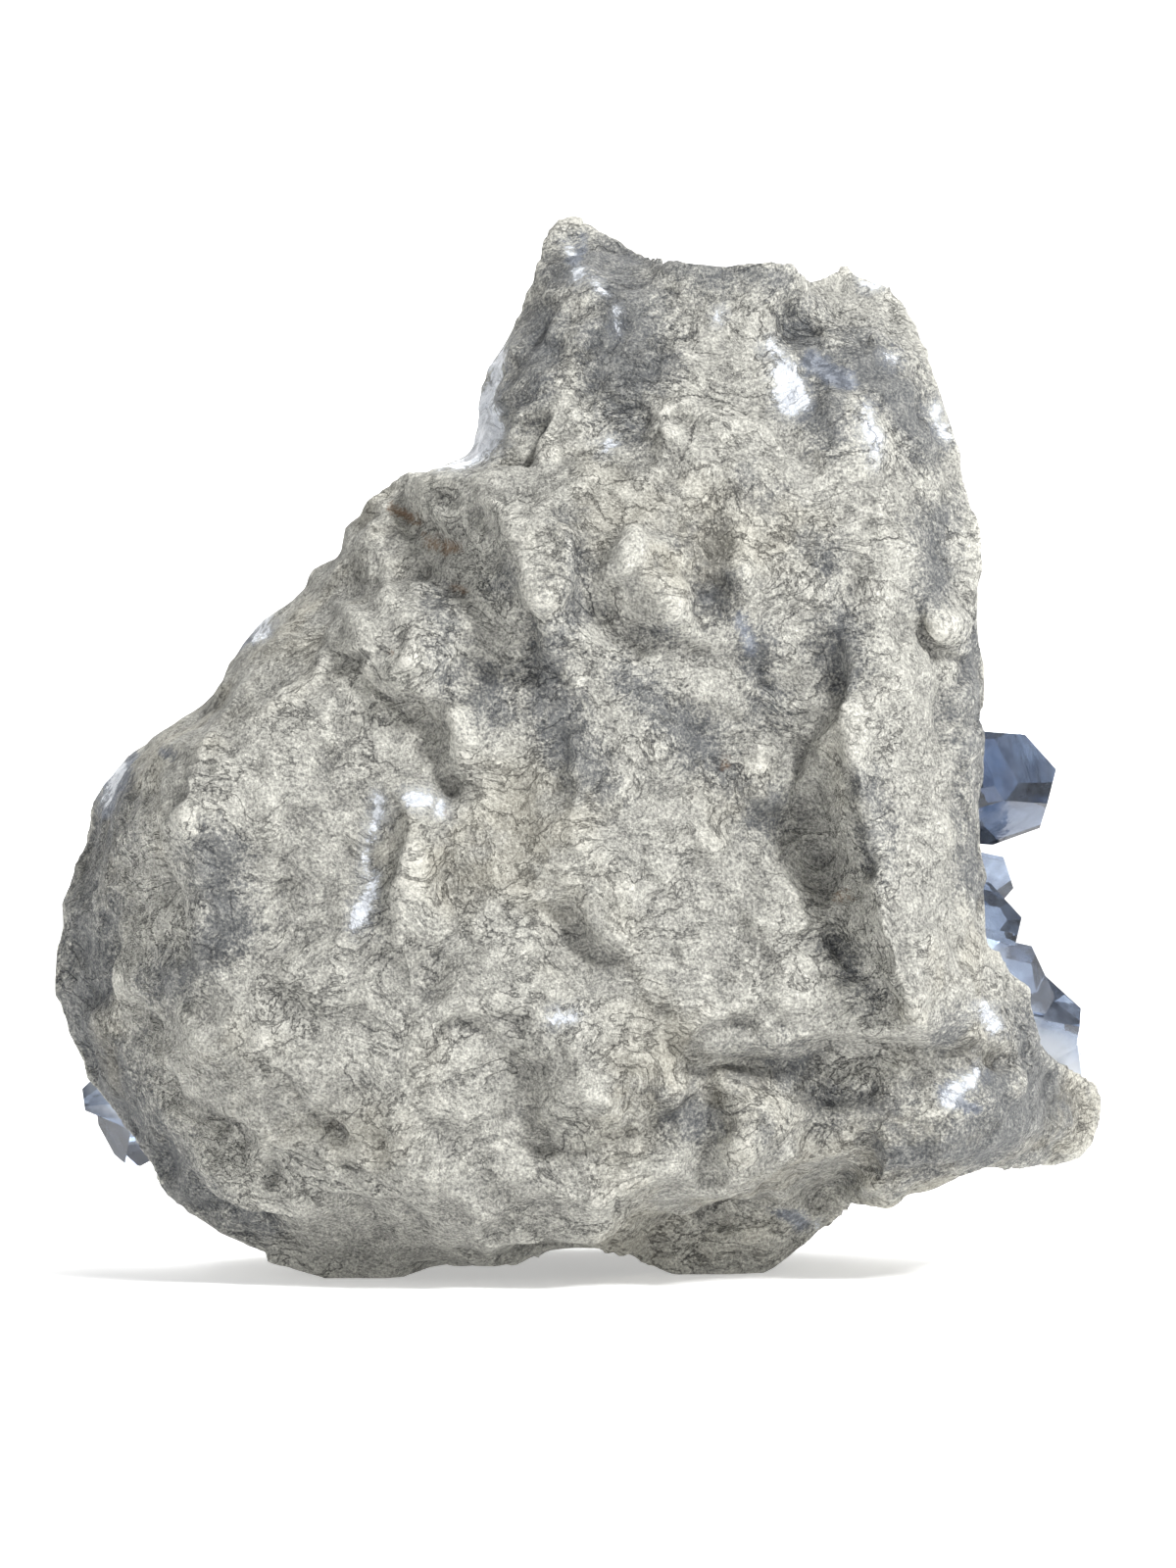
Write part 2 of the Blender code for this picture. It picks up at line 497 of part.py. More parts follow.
def add_object(name, bm, parent):
    """A new object from a mesh in millimetres, which this frees."""
    bmesh.ops.scale(bm, vec=(MM, MM, MM), verts=bm.verts)
    mesh = bpy.data.meshes.new(name)
    bm.to_mesh(mesh)
    bm.free()
    obj = bpy.data.objects.new(name, mesh)
    obj.parent = parent
    bpy.context.scene.collection.objects.link(obj)
    return obj


def add_cutter(name, bm, parent):
    """A hidden object that only shapes another."""
    obj = add_object(name, bm, parent)
    obj.hide_render = True
    obj.display_type = "WIRE"
    return obj


def rock_solid():
    """The rock before its hollow is cut: the surveyed front, the lumpy sides and a plain back."""
    angles = steps_about(RING_STEPS)
    radius, out = silhouette_at(angles)
    edge = broken_edge_at(angles)
    triangles = relief_triangles()
    even = worn_outline()[1]
    rings = []
    for i in range(1, FACE_RINGS):
        part_way = i / FACE_RINGS
        points = ring(even * part_way + (radius - even) * part_way ** OUTLINE_GRIP, angles, 0)
        points[:, 1] = -relief_at(points[:, 0], points[:, 2], triangles)
        rings.append(points)
    for i in range(WALL_RINGS + 1):
        behind = i / WALL_RINGS
        y = -out + (edge + out) * behind
        points = ring(side_radius(angles, y), angles, y)
        depth = np.array([lump_depth(p) for p in points]) * unevenness(angles) * smooth_step(behind * 3)
        rings.append(ring(side_radius(angles, y) - depth, angles, y))
    outer = rings[-1]
    for i in range(1, BACK_RINGS):
        inner = 1 - i / BACK_RINGS
        chipped = EDGE_CHIPS * min(1, 4 * (1 - inner))
        points = outer.copy()
        points[:, 0] = AXIS_X + (points[:, 0] - AXIS_X) * inner
        points[:, 2] = AXIS_Z + (points[:, 2] - AXIS_Z) * inner
        points[:, 1] -= [abs(noise.noise(Vector(p) / DENT_SIZE)) * chipped for p in points]
        rings.append(points)
    return solid_of_rings(rings)


def hollow_rings(fractions):
    """Rings over the hollow's surface, at fractions of its mouth's radius."""
    angles = steps_about(HOLLOW_STEPS)
    mouth = hollow_mouth(angles)
    return [ring(mouth * f, angles, hollow_level(f, angles)) for f in fractions]


def offset_rings(rings, distance):
    """The same rings, moved off their surface into the hollow."""
    middle = np.repeat(np.mean(rings[0], axis=0)[None], len(rings[0]), axis=0)
    padded = np.array([middle] + list(rings) + [rings[-1] + (rings[-1] - rings[-2]) * 0.5])
    along = padded[2:] - padded[:-2]
    around = np.roll(padded[1:-1], -1, axis=1) - np.roll(padded[1:-1], 1, axis=1)
    normal = np.cross(along, around)
    normal /= np.linalg.norm(normal, axis=2)[..., None]
    normal *= np.sign(normal[:1, :1, 1:2])
    return list(np.array(rings) + normal * distance)


def hollow_cutter():
    """What the hollow takes out of the rock."""
    rings = hollow_rings(HOLLOW_RINGS)
    far = rings[-1].copy()
    far[:, 1] = PAST_THE_EDGE
    return solid_of_rings(rings + [far])


def rock_with_clearance():
    """The rock with a skin of clearance over its hollow and its edge, which the crust is cut back to."""
    angles = steps_about(HOLLOW_STEPS)
    edge = broken_edge_at(angles)
    rings = offset_rings(hollow_rings(HOLLOW_RINGS[:-1]), RIND_GAP)
    mouth = hollow_mouth(angles)
    outside = silhouette_at(angles)[0] + WALL
    for part_way in (0, 0.5, 1):
        rings.append(ring(mouth + (outside - mouth) * part_way, angles, edge + EDGE_GAP))
    rings.append(ring(outside, angles, -PAST_THE_EDGE))
    return solid_of_rings(rings)


def rind_solid():
    """The rind of grown-together crystal that lines the hollow, before it is cut back from the rock."""
    rings = hollow_rings(HOLLOW_RINGS[:-1])
    return solid_of_rings(offset_rings(rings, RIND_BEFORE_CUT) + offset_rings(rings, RIND)[::-1])


def face_normal(miller):
    """The direction that a crystal face looks in, from its Miller indices."""
    return Vector(np.array(miller) / CELL).normalized()


def cut_by_plane(bm, point, normal):
    """Takes off what lies past a plane and closes the cut."""
    geometry = bm.verts[:] + bm.edges[:] + bm.faces[:]
    cut = bmesh.ops.bisect_plane(bm, geom=geometry, plane_co=point, plane_no=normal, clear_outer=True)
    edges = [e for e in cut["geom_cut"] if isinstance(e, bmesh.types.BMEdge)]
    if edges:
        bmesh.ops.holes_fill(bm, edges=edges)


def crystal_solid(root, tip, width, flatness, turn, base_normal, rng):
    """One prism of celestite with its end faces, from a base in the rind to its tip."""
    along = tip - root
    length = along.length
    bm = bmesh.new()
    bmesh.ops.create_cube(bm, size=1)
    bmesh.ops.scale(bm, vec=(4 * length, 3 * width, 3 * width), verts=bm.verts)
    half = width / 2
    for miller in PRISM_FACES:
        normal = face_normal(miller)
        cut_by_plane(bm, normal * half * rng.uniform(0.78, 0.92), normal)
    for miller in FLAT_FACES if width > FLAT_FROM else ():
        cut_by_plane(bm, face_normal(miller) * half * flatness, face_normal(miller))
    for miller in END_FACES:
        cut_by_plane(bm, Vector((length * rng.uniform(1.0, 1.12), 0, 0)), face_normal(miller))
    turned = Matrix.Rotation(math.radians(turn), 4, "X")
    aimed = along.to_track_quat("X", "Z").to_matrix().to_4x4()
    bmesh.ops.transform(bm, matrix=Matrix.Translation(root) @ aimed @ turned, verts=bm.verts)
    cut_by_plane(bm, root - base_normal * ROOT_DEPTH, -base_normal)
    cut_by_plane(bm, root - along * BACK_END, -along.normalized())
    bmesh.ops.recalc_face_normals(bm, faces=bm.faces)
    return bm


def place_in_hollow(fraction, angle):
    """A point on the rind's face, and the way that it looks."""
    def at(f, a):
        a = np.array([a])
        return ring(hollow_mouth(a) * f, a, hollow_level(f, a))[0]
    step = 0.02
    point = at(fraction, angle)
    normal = Vector(np.cross(at(fraction + step, angle) - point, at(fraction, angle + step) - point))
    normal.normalize()
    if normal.y < 0:
        normal.negate()
    return Vector(point) + normal * RIND, normal


def clear_of_rock(tip):
    """Whether a crystal's tip is in the hollow, or past the edge of the rock."""
    angles = np.array([math.atan2(tip.z - AXIS_Z, tip.x - AXIS_X)])
    fraction = np.hypot(tip.x - AXIS_X, tip.z - AXIS_Z) / hollow_mouth(angles)
    surface = hollow_level(fraction, angles) if fraction < 1 else broken_edge_at(angles)
    return tip.y > surface[0] + RIND


def crystals(parent):
    """Every crystal of the crust, as a hidden object of its own in one collection."""
    group = bpy.data.collections.new("crystals")
    rng = random.Random(BED_SEED)
    placed = []

    def keep(bm):
        obj = add_cutter(f"crystal_{len(group.objects):03d}", bm, parent)
        bpy.context.scene.collection.objects.unlink(obj)
        group.objects.link(obj)

    for root, tip, width, flatness, turn in EDGE_CRYSTALS:
        root, tip = in_space(*root), in_space(*tip)
        bm = crystal_solid(root, tip, width, flatness, turn, (tip - root).normalized(), rng)
        placed.append((root, width))
        keep(bm)
    tries = 0
    while len(group.objects) < BED_CRYSTALS and tries < BED_TRIES:
        tries += 1
        fraction = rng.random() ** BED_CROWDING * BED_REACH
        angle = rng.random() * math.tau
        seat, normal = place_in_hollow(fraction, angle)
        width = rng.uniform(*BED_WIDTHS) * (1.1 - 0.35 * fraction)
        if any((seat - other).length < BED_SPACING * (width + wide) / 2 for other, wide in placed):
            continue
        lean = Vector((rng.gauss(0, 1), rng.gauss(0, 1), rng.gauss(0, 1))) * BED_LEAN
        length = width * rng.uniform(*BED_LENGTHS)
        tip = seat + (normal + lean).normalized() * length
        bm = crystal_solid(seat, tip, width, rng.uniform(0.6, 1.0), rng.uniform(0, 180), normal, rng)
        if clear_of_rock(tip):
            placed.append((seat, width))
            keep(bm)
        else:
            bm.free()
    return group


def add_boolean(obj, operation, operand=None, collection=None):
    """An exact Boolean on the object, with one other object or a collection of them."""
    modifier = obj.modifiers.new(operation.title(), "BOOLEAN")
    modifier.operation = operation
    modifier.solver = "EXACT"
    if collection:
        modifier.operand_type = "COLLECTION"
        modifier.collection = collection
    else:
        modifier.object = operand
    return modifier


def settle_into_one_body(obj):
    """Applies the object's modifiers and keeps its largest body: no sealed pocket and no loose chip stays."""
    bpy.context.view_layer.update()
    evaluated = obj.evaluated_get(bpy.context.evaluated_depsgraph_get())
    mesh = bpy.data.meshes.new_from_object(evaluated)
    obj.modifiers.clear()
    bm = bmesh.new()
    bm.from_mesh(mesh)
    bmesh.ops.remove_doubles(bm, verts=bm.verts, dist=SLIVER * MM)
    bmesh.ops.dissolve_degenerate(bm, edges=bm.edges, dist=SLIVER * MM)
    bmesh.ops.triangulate(bm, faces=bm.faces)
    bodies, seen = [], set()
    for start in bm.verts:
        if start in seen:
            continue
        body, front = [], [start]
        seen.add(start)
        while front:
            vert = front.pop()
            body.append(vert)
            for edge in vert.link_edges:
                other = edge.other_vert(vert)
                if other not in seen:
                    seen.add(other)
                    front.append(other)
        bodies.append(body)
    bodies.sort(key=len)
    for body in bodies[:-1]:
        bmesh.ops.delete(bm, geom=body, context="VERTS")
    bm.to_mesh(mesh)
    bm.free()
    obj.data = mesh


def floor_cutter():
    """Everything below the level that the geode stands on."""
    bm = bmesh.new()
    bmesh.ops.create_cube(bm, size=2 * SIDE_DEPTH * 3)
    bmesh.ops.translate(bm, vec=(0, 0, FLOOR_LEVEL - SIDE_DEPTH * 3), verts=bm.verts)
    return bm


def give_material(obj, name, colour, roughness, transmission=0.0, ior=1.5):
    """One material for the whole object."""
    material = bpy.data.materials.new(name)
    material.use_nodes = True
    shader = material.node_tree.nodes["Principled BSDF"]
    shader.inputs["Base Color"].default_value = (*colour, 1)
    shader.inputs["Roughness"].default_value = roughness
    shader.inputs["Metallic"].default_value = 0.0
    shader.inputs["Transmission Weight"].default_value = transmission
    shader.inputs["IOR"].default_value = ior
    obj.data.materials.append(material)


def stand_in_place(empty, pieces):
    """Moves the geode so that the middle of its box is over the origin and it stands at Z = 0."""
    bpy.context.view_layer.update()
    graph = bpy.context.evaluated_depsgraph_get()
    corners = []
    for piece in pieces:
        evaluated = piece.evaluated_get(graph)
        corners += [piece.matrix_world @ v.co for v in evaluated.data.vertices]
    corners = np.array(corners)
    low, high = corners.min(axis=0), corners.max(axis=0)
    empty.location = (-(low[0] + high[0]) / 2, -(low[1] + high[1]) / 2, -low[2])


def build():
    for obj in list(bpy.data.objects):
        bpy.data.objects.remove(obj)
    whole = bpy.data.objects.new("geode", None)
    bpy.context.scene.collection.objects.link(whole)

    matrix = add_object("matrix", rock_solid(), whole)
    fewer = matrix.modifiers.new("Fewer faces", "DECIMATE")
    fewer.ratio = ROCK_TRIANGLES / len(matrix.data.polygons)
    add_boolean(matrix, "DIFFERENCE", add_cutter("hollow", hollow_cutter(), whole))
    add_boolean(matrix, "DIFFERENCE", add_cutter("below_the_floor", floor_cutter(), whole))
    settle_into_one_body(matrix)
    give_material(matrix, "marl", (0.58, 0.56, 0.49), 0.9)

    crust = add_object("crystal_crust", rind_solid(), whole)
    add_boolean(crust, "UNION", collection=crystals(whole))
    add_boolean(crust, "DIFFERENCE", add_cutter("rock_with_clearance", rock_with_clearance(), whole))
    settle_into_one_body(crust)
    give_material(crust, "celestite", (0.42, 0.52, 0.66), 0.12, transmission=0.6, ior=1.62)

    stand_in_place(whole, (matrix, crust))


build()
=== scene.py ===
"""The looks of the celestite geode: the weathered rock, its crystal lining and the studio it stands in.

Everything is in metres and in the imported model's frame: +Z up, the rock's weathered side towards -Y and the
crystal-lined hollow towards +Y. Places on the front are written as they line up on the middle plane, in
millimetres to the right of the line of sight and up from the foot, for an eye one metre in front.
"""

import math
import random

import bmesh
import bpy
import numpy as np
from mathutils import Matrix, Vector, noise
from mathutils.bvhtree import BVHTree


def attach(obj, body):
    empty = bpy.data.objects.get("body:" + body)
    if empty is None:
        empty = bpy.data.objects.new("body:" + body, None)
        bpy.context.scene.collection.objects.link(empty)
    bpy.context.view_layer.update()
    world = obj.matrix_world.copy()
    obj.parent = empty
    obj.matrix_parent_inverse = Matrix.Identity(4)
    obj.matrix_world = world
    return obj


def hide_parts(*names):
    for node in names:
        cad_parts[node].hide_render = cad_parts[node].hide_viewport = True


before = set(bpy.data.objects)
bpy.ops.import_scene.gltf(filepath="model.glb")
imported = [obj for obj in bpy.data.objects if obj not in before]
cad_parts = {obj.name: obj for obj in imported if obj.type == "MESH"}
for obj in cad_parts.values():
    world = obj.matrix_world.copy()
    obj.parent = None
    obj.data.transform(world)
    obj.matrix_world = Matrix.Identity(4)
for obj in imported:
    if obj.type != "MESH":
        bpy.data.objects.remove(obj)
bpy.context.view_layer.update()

# The camera
# It stands one metre in front of the rock's middle plane, level, at about half the rock's height. The lens
# takes in a field 267 mm high at that plane.
MM = 0.001
EYE_DISTANCE = 1000.0
EYE_HEIGHT = 90.0
MIDDLE_X = 1.4
MIDDLE_Y = -7.7
FOOT_LEVEL = -1.5
LENS = 135.0
FRAME_HEIGHT = 266.7
FRAME_MIDDLE = 85.0


def added(name, data):
    """A new object in the scene, with its mesh, camera or light."""
    thing = bpy.data.objects.new(name, data)
    bpy.context.collection.objects.link(thing)
    return thing


eye = bpy.data.cameras.new("eye")
eye.lens = LENS
eye.shift_y = (FRAME_MIDDLE - EYE_HEIGHT) / FRAME_HEIGHT
camera = added("eye", eye)
camera.location = (MIDDLE_X * MM, (MIDDLE_Y - EYE_DISTANCE) * MM, (EYE_HEIGHT + FOOT_LEVEL) * MM)
camera.rotation_euler = (math.radians(90), 0, 0)
bpy.context.scene.camera = camera

# The rock
# A chunk of pale, fine-grained marl, broken out of the ground round the geode. Its outside is lumpy and
# weathered, with creases and broken ledges, and thin veins of celestite show where they reach it.

# The mesh: how near its points are joined, how large its faces are, how often it is smoothed and the
# share of its faces that is kept. It stays fine where the rock turns back by less than FINE_TURN and lies
# more than FINE_REACH from the crust.
MERGED_WITHIN = 0.01
VOXEL = 0.9
SMOOTHINGS = 2
KEPT_SHARE = 0.57
FINE_TURN = 0.1
FINE_REACH = 3.0
FINE_WEIGHT = 1000

# Relief fades where the rock turns from the front, at the foot and by the crust, where the rock swells a
# little to close the gap. What stands out from the shape averaged round it is raised further, and what
# lies below it is partly filled.
FRONT_FADE = (0.05, 0.45)
FOOT_FADE = 3.0
RIM_REACH = 2.0
RIM_SWELL = 0.8
SHARPENED_OVER = 45
SHARPENING = 0.6
FILLING = 0.35

# Creases: the path, how far its edge is from it and how deep it is.
CREASES = [
    ([(-41, 108), (-37.7, 103.7), (-33, 99.6), (-28.3, 99.7), (-26.5, 96), (-25.2, 92), (-24, 88.5),
      (-25, 85.7)], 2.2, 0.6),
    ([(-10.3, 109.7), (-6, 104), (-2.3, 98.3)], 2.0, 0.5),
    ([(0.3, 99.7), (-1, 88.3), (-3, 83.7), (-5, 79), (-2.3, 72.3), (-1, 67)], 1.6, 0.5),
    ([(18.7, 106.7), (18, 98.7), (20, 93.3)], 2.4, 0.8),
    ([(-5.7, 62.3), (-4.8, 60.5), (-2.5, 57.5)], 1.9, 0.5),
    ([(-27, 42.5), (-23, 44.3), (-18.3, 43.7), (-15.7, 40.3), (-16.3, 35.7)], 1.9, 0.25),
    ([(47.3, 105.7), (46, 103.3), (41.3, 100), (37.3, 93.3), (35.3, 90.7), (35.7, 86.7), (34.7, 82.7),
      (36.7, 77.3)], 1.4, 0.7),
    ([(36.7, 77.3), (39.5, 70), (41.5, 62), (41.7, 56.5), (44, 53.5)], 1.5, 0.4),
    ([(-63, 95), (-65, 89.3), (-66.3, 84), (-65.7, 77.3), (-63.7, 72), (-62, 66)], 2.0, 0.7),
    ([(-60, 91), (-61.5, 84), (-60.5, 77), (-57.5, 72)], 1.7, 0.4),
    ([(-68.5, 92), (-70.2, 85), (-70, 78), (-68, 71), (-67.5, 64)], 1.6, 0.4),
    ([(-62.3, 98), (-65.7, 96.7), (-70, 94.7), (-70.5, 90.7), (-73.7, 84), (-74.7, 78.7), (-73.7, 73.3),
      (-72.3, 69.3), (-73, 61), (-70.3, 56.3), (-71, 50)], 1.8, 0.7),
    ([(5.7, 36.3), (6, 30), (6, 24.5)], 1.4, 0.8),
    ([(-7.7, 23.7), (-2.3, 21.7), (4.3, 25), (6, 27.7)], 2.2, 0.4),
    ([(56, 114.7), (56.3, 110), (59.3, 107.3), (64, 106.7)], 1.6, 0.9),
    ([(64.5, 106), (63, 103.6), (60, 100), (59.7, 95.3), (62.7, 93.6)], 1.5, 0.8),
    ([(-23.5, 79), (-23.3, 75), (-23.7, 67), (-23, 61.7), (-19, 58)], 2.4, 0.6),
    ([(-75, 48.3), (-72.3, 36.3), (-67, 30.3), (-60.3, 25), (-53.7, 18.3), (-44.3, 15),
      (-35, 9.7)], 3.4, 1.2),
    ([(-3, 81), (1.7, 80.3), (4.3, 78.7), (7, 75)], 1.3, 0.5),
    ([(20.4, 151), (25.3, 149.6), (30.2, 146.8), (32.3, 144), (36, 140)], 1.6, 0.8),
    ([(-35, 134), (-30.3, 130), (-25.7, 126.7), (-21.7, 124)], 2.0, 0.5),
    ([(-32, 122.5), (-28.3, 120.7), (-21.7, 116.7)], 2.4, 0.5),
    ([(19, 36.6), (27, 37.8), (34.3, 38), (41, 39.6), (47.7, 40.4), (53, 39.7), (61, 40)], 1.6, 0.4),
    ([(41.7, 61), (41.7, 56.3), (43.7, 54)], 1.3, 0.7),
    ([(-51, 33.7), (-49.7, 29.7), (-45.7, 25), (-40.3, 24.3)], 2.0, 0.8),
    ([(-62, 97), (-61.7, 94), (-57.7, 88.7), (-53.7, 82.7), (-48.3, 77.3)], 1.8, 0.5),
    ([(-32.3, 75), (-33.7, 69.7), (-35.7, 64.3), (-38, 58)], 2.2, 0.4),
    ([(16.3, 30.3), (12, 27.5), (8.3, 25)], 2.0, 0.7),
    ([(0.3, 114.7), (5.7, 110.7), (13.7, 110.3)], 2.0, 0.4),
    ([(-45, 12), (-37, 8.5), (-28, 6)], 3.0, 0.6),
    ([(31.3, 116), (30, 108), (31, 101)], 2.0, 0.5),
    ([(43.3, 118), (42.7, 108)], 2.0, 0.4),
    ([(-46.3, 46), (-45.7, 40), (-47, 36)], 1.5, 0.4),
    ([(-44, 25.5), (-38, 19), (-31.7, 14.3), (-27.7, 9.7)], 2.2, 0.7),
    ([(4.3, 14), (4.3, 8)], 1.4, 0.5),
]

# Broken ledges: the path, with the raised side on its left, how far that stands up and the other side lies
# down, and how far from the path both fade. LEDGE_WIDTH says how gently the step turns.
LEDGES = [
    ([(-23, 135.3), (-16.5, 131.8), (-13, 124), (-9, 114)], 0.7, 6),
    ([(11, 147.3), (4.3, 140.7), (-2.3, 138.7), (-10.3, 139.3), (-21.7, 139), (-26.7, 138.3)], 0.6, 4),
    ([(14, 36), (19, 37.6), (27, 38.9), (34.3, 39.2), (41, 41), (47.7, 41.6), (53, 40.9), (61.7, 41.7),
      (65, 44.6)], 0.4, 4),
    ([(-5, 8.7), (5, 9.7), (9, 11.7), (15, 14.3), (25, 14.7), (28.3, 16.7), (31.7, 19.7), (33.7, 21),
      (39.7, 21), (42.3, 22.3)], 0.6, 3),
    ([(-52.3, 107.3), (-57.7, 103.3), (-62.3, 98)], 0.4, 3),
    ([(0.3, 116.5), (5.7, 113), (10, 112), (15, 112.5)], 0.3, 3),
    ([(-71.7, 38.3), (-69.7, 33), (-65.7, 29.7), (-57.7, 25.7), (-50, 22)], 0.5, 5),
    ([(36, 140.5), (32.3, 144.5), (30.2, 147.3), (25.3, 150), (20.4, 151.5)], 0.4, 3),
    ([(17.5, 142.6), (15.4, 145.4), (11.9, 148.9), (9.8, 149)], 0.5, 3),
    ([(56, 114.7), (56.3, 110), (59.3, 107.3), (64, 106.7)], 0.5, 3),
    ([(7, 128.7), (3.5, 124.7), (0.5, 117.3)], 0.4, 4),
    ([(-66, 58), (-58, 52), (-50, 50), (-42, 52)], 0.4, 5),
    ([(2, 56), (10, 53), (18, 55), (27, 51), (36, 53)], 0.3, 4),
    ([(-20, 63), (-12, 58), (-8, 50)], 0.3, 4), ([(24, 84), (27, 76), (31, 69)], 0.3, 4),
    ([(36, 132), (44, 129), (52, 131)], 0.3, 4), ([(-58, 72), (-50, 68), (-43, 70)], 0.3, 4),
    ([(-30, 31), (-24, 28), (-21, 22)], 0.3, 4), ([(26, 61), (33, 58), (38, 61)], 0.3, 3),
    ([(-38, 128), (-35, 121), (-36, 115)], 0.4, 3), ([(22, 168), (30, 166.5), (36, 168)], 0.3, 3),
    ([(40, 163), (47, 163.5), (54, 161.5)], 0.4, 3),
]
LEDGE_WIDTH = 0.9

# Pits and knobs: the middle, the half width and half height, and how far in or out.
PITS = [
    ((35.5, 162.3), (6, 3.2), 1.7), ((70, 38), (3.2, 2.4), 2.2), ((-43, 25), (4, 3.5), 1.2),
    ((-10, 30), (3, 4.5), 0.5), ((7, 114), (7, 3.5), 0.6), ((41, 31), (9, 3.6), 0.9),
    ((-22, 84), (2.4, 3), 1.2), ((56, 34), (4, 3), 0.9), ((-17, 122), (3, 6), 0.8),
    ((45, 50), (3, 6), 0.8), ((44.5, 18), (3.5, 4), 1.2), ((35.5, 88.5), (1.6, 3.4), 1.0),
    ((-27, 126), (4, 3), 0.4), ((-18, 105), (4, 4.5), 0.6), ((-37, 68), (3.5, 7), 0.8),
    ((21.5, 125), (4, 4), 0.8), ((8.5, 112), (6, 2), 0.4), ((-5.5, 62), (1.4, 1.2), 0.6),
]
KNOBS = [
    ((-23, 92), (4, 8), 1.2), ((20.5, 27), (4, 6), 1.0), ((22, 37.5), (8, 2.5), 0.7),
    ((-28, 118.5), (5, 3.5), 0.9), ((13, 144), (4.5, 3.5), 1.6), ((-31, 106), (4.6, 3.6), 1.4),
    ((64, 99.5), (3.8, 5.5), 1.2), ((8, 124), (6, 7), 0.9), ((-50, 90), (13, 11), 0.6),
    ((0, 33), (5, 5), 1.1), ((26, 24), (4.5, 5), 0.9), ((-29, 73.3), (1.3, 1.3), 0.9),
    ((-29, 68), (4.5, 9), 1.0), ((61, 111), (4.5, 5), 0.9), ((-13, 128), (8, 8), 0.5),
    ((25, 119), (4, 8), 0.8), ((-21, 40), (5, 4), 0.9), ((3, 62), (7, 9), 0.5), ((58, 70), (6, 20), 0.4),
    ((-57, 42), (7, 6), 0.8), ((-9.3, 66), (1.2, 1.2), 0.8), ((-56, 80), (7, 8), 0.9),
    ((4, 104), (4, 5), 0.9), ((-45, 30), (5, 4), 0.7), ((33, 104), (2.5, 5), 0.7),
    ((47, 35), (4, 3), 0.6), ((-38, 113), (5, 3), 0.8), ((30, 26), (3, 3), 0.7),
]

# The broken stone's roughness: lumps and wrinkles by their size and how far they stand, and flats by their
# size and steepness. The flats' outlines are warped by a finer noise. Away from the front all this is
# AT_THE_SIDES as strong.
LUMPS = [(15.0, 0.6)]
FLATS = [(16.0, 0.18), (7.0, 0.15), (3.4, 0.1)]
FLAT_EDGES = 14.0
FLAT_TILT = 2.0
WARP_FINENESS = 1.7
WARP = 0.3
CELL_STEP = 7.3
WRINKLES = [(6.0, 0.25), (2.6, 0.18)]
WRINKLE_MIDDLE = 0.2
WRINKLE_STRETCH = Vector((0.6, 1.0, 1.1))
AT_THE_SIDES = 0.3
ROCK_SEED = 1

# The paths above wander a little: the size of the waves and how far they reach.
WANDER = [(8.0, 1.4), (2.6, 0.5)]


def seen_places(points):
    """Where points in metres line up on the middle plane, as x and z in millimetres."""
    out = MIDDLE_Y - points[:, 1] / MM
    spread = 1 - out / EYE_DISTANCE
    x = (points[:, 0] / MM - MIDDLE_X) / spread
    z = (points[:, 2] / MM - EYE_HEIGHT - FOOT_LEVEL) / spread + EYE_HEIGHT
    return x, z


def from_path(x, z, path):
    """How far each place is from a path drawn on the front, with a third value taken as its half width.

    The distances are below 0 inside the width. The second result says which side: above 0 on the left.
    """
    nearest = np.full(len(x), np.inf)
    side = np.zeros(len(x))
    ends = [(*end, 0.0)[:3] for end in path]
    for (x0, z0, wide0), (x1, z1, wide1) in zip(ends, ends[1:] or ends):
        run = np.array([x1 - x0, z1 - z0])
        length_squared = run @ run or 1.0
        along = np.clip(((x - x0) * run[0] + (z - z0) * run[1]) / length_squared, 0, 1)
        away_x, away_z = x - x0 - along * run[0], z - z0 - along * run[1]
        away = np.hypot(away_x, away_z) - wide0 - along * (wide1 - wide0)
        closer = away < nearest
        nearest[closer] = away[closer]
        side[closer] = np.sign(run[0] * away_z - run[1] * away_x)[closer]
    return nearest, side


def swell(distance):
    """A soft rise from 0 at a distance of 1 to 1 in the middle."""
    return np.clip(1 - distance**2, 0, 1) ** 2


def notch(distance):
    """A rise from 0 at a distance of 1 to a sharp 1 in the middle."""
    return np.clip(1 - distance, 0, 1) ** 1.5


def merged_copy(node, name):
    """A new object with a CAD node's shape, its loose triangles joined."""
    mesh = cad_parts[node].data.copy()
    mesh.materials.clear()
    bm = bmesh.new()
    bm.from_mesh(mesh)
    bmesh.ops.remove_doubles(bm, verts=bm.verts, dist=MERGED_WITHIN * MM)
    bm.to_mesh(mesh)
    bm.free()
    for layer in list(mesh.uv_layers):
        mesh.uv_layers.remove(layer)
    mesh.name = name
    return added(name, mesh)


def settled(piece):
    """Makes a piece's modifiers part of a plain mesh."""
    view = bpy.context.evaluated_depsgraph_get()
    view.update()
    mesh = bpy.data.meshes.new_from_object(piece.evaluated_get(view))
    piece.modifiers.clear()
    piece.data = mesh
    mesh.name = piece.name


def remeshed(piece, size):
    """Gives a piece an even mesh, with faces of a size in millimetres."""
    remesh = piece.modifiers.new("even mesh", "REMESH")
    remesh.mode = "VOXEL"
    remesh.voxel_size = size * MM
    settled(piece)


def points_of(mesh):
    points = np.empty(len(mesh.vertices) * 3, np.float32)
    mesh.vertices.foreach_get("co", points)
    return points.reshape(-1, 3).astype(float)


def normals_of(mesh):
    normals = np.empty(len(mesh.vertices) * 3, np.float32)
    mesh.vertex_normals.foreach_get("vector", normals)
    return normals.reshape(-1, 3).astype(float)


def edges_of(mesh):
    edges = np.empty(len(mesh.edges) * 2, np.int32)
    mesh.edges.foreach_get("vertices", edges)
    return edges.reshape(-1, 2)


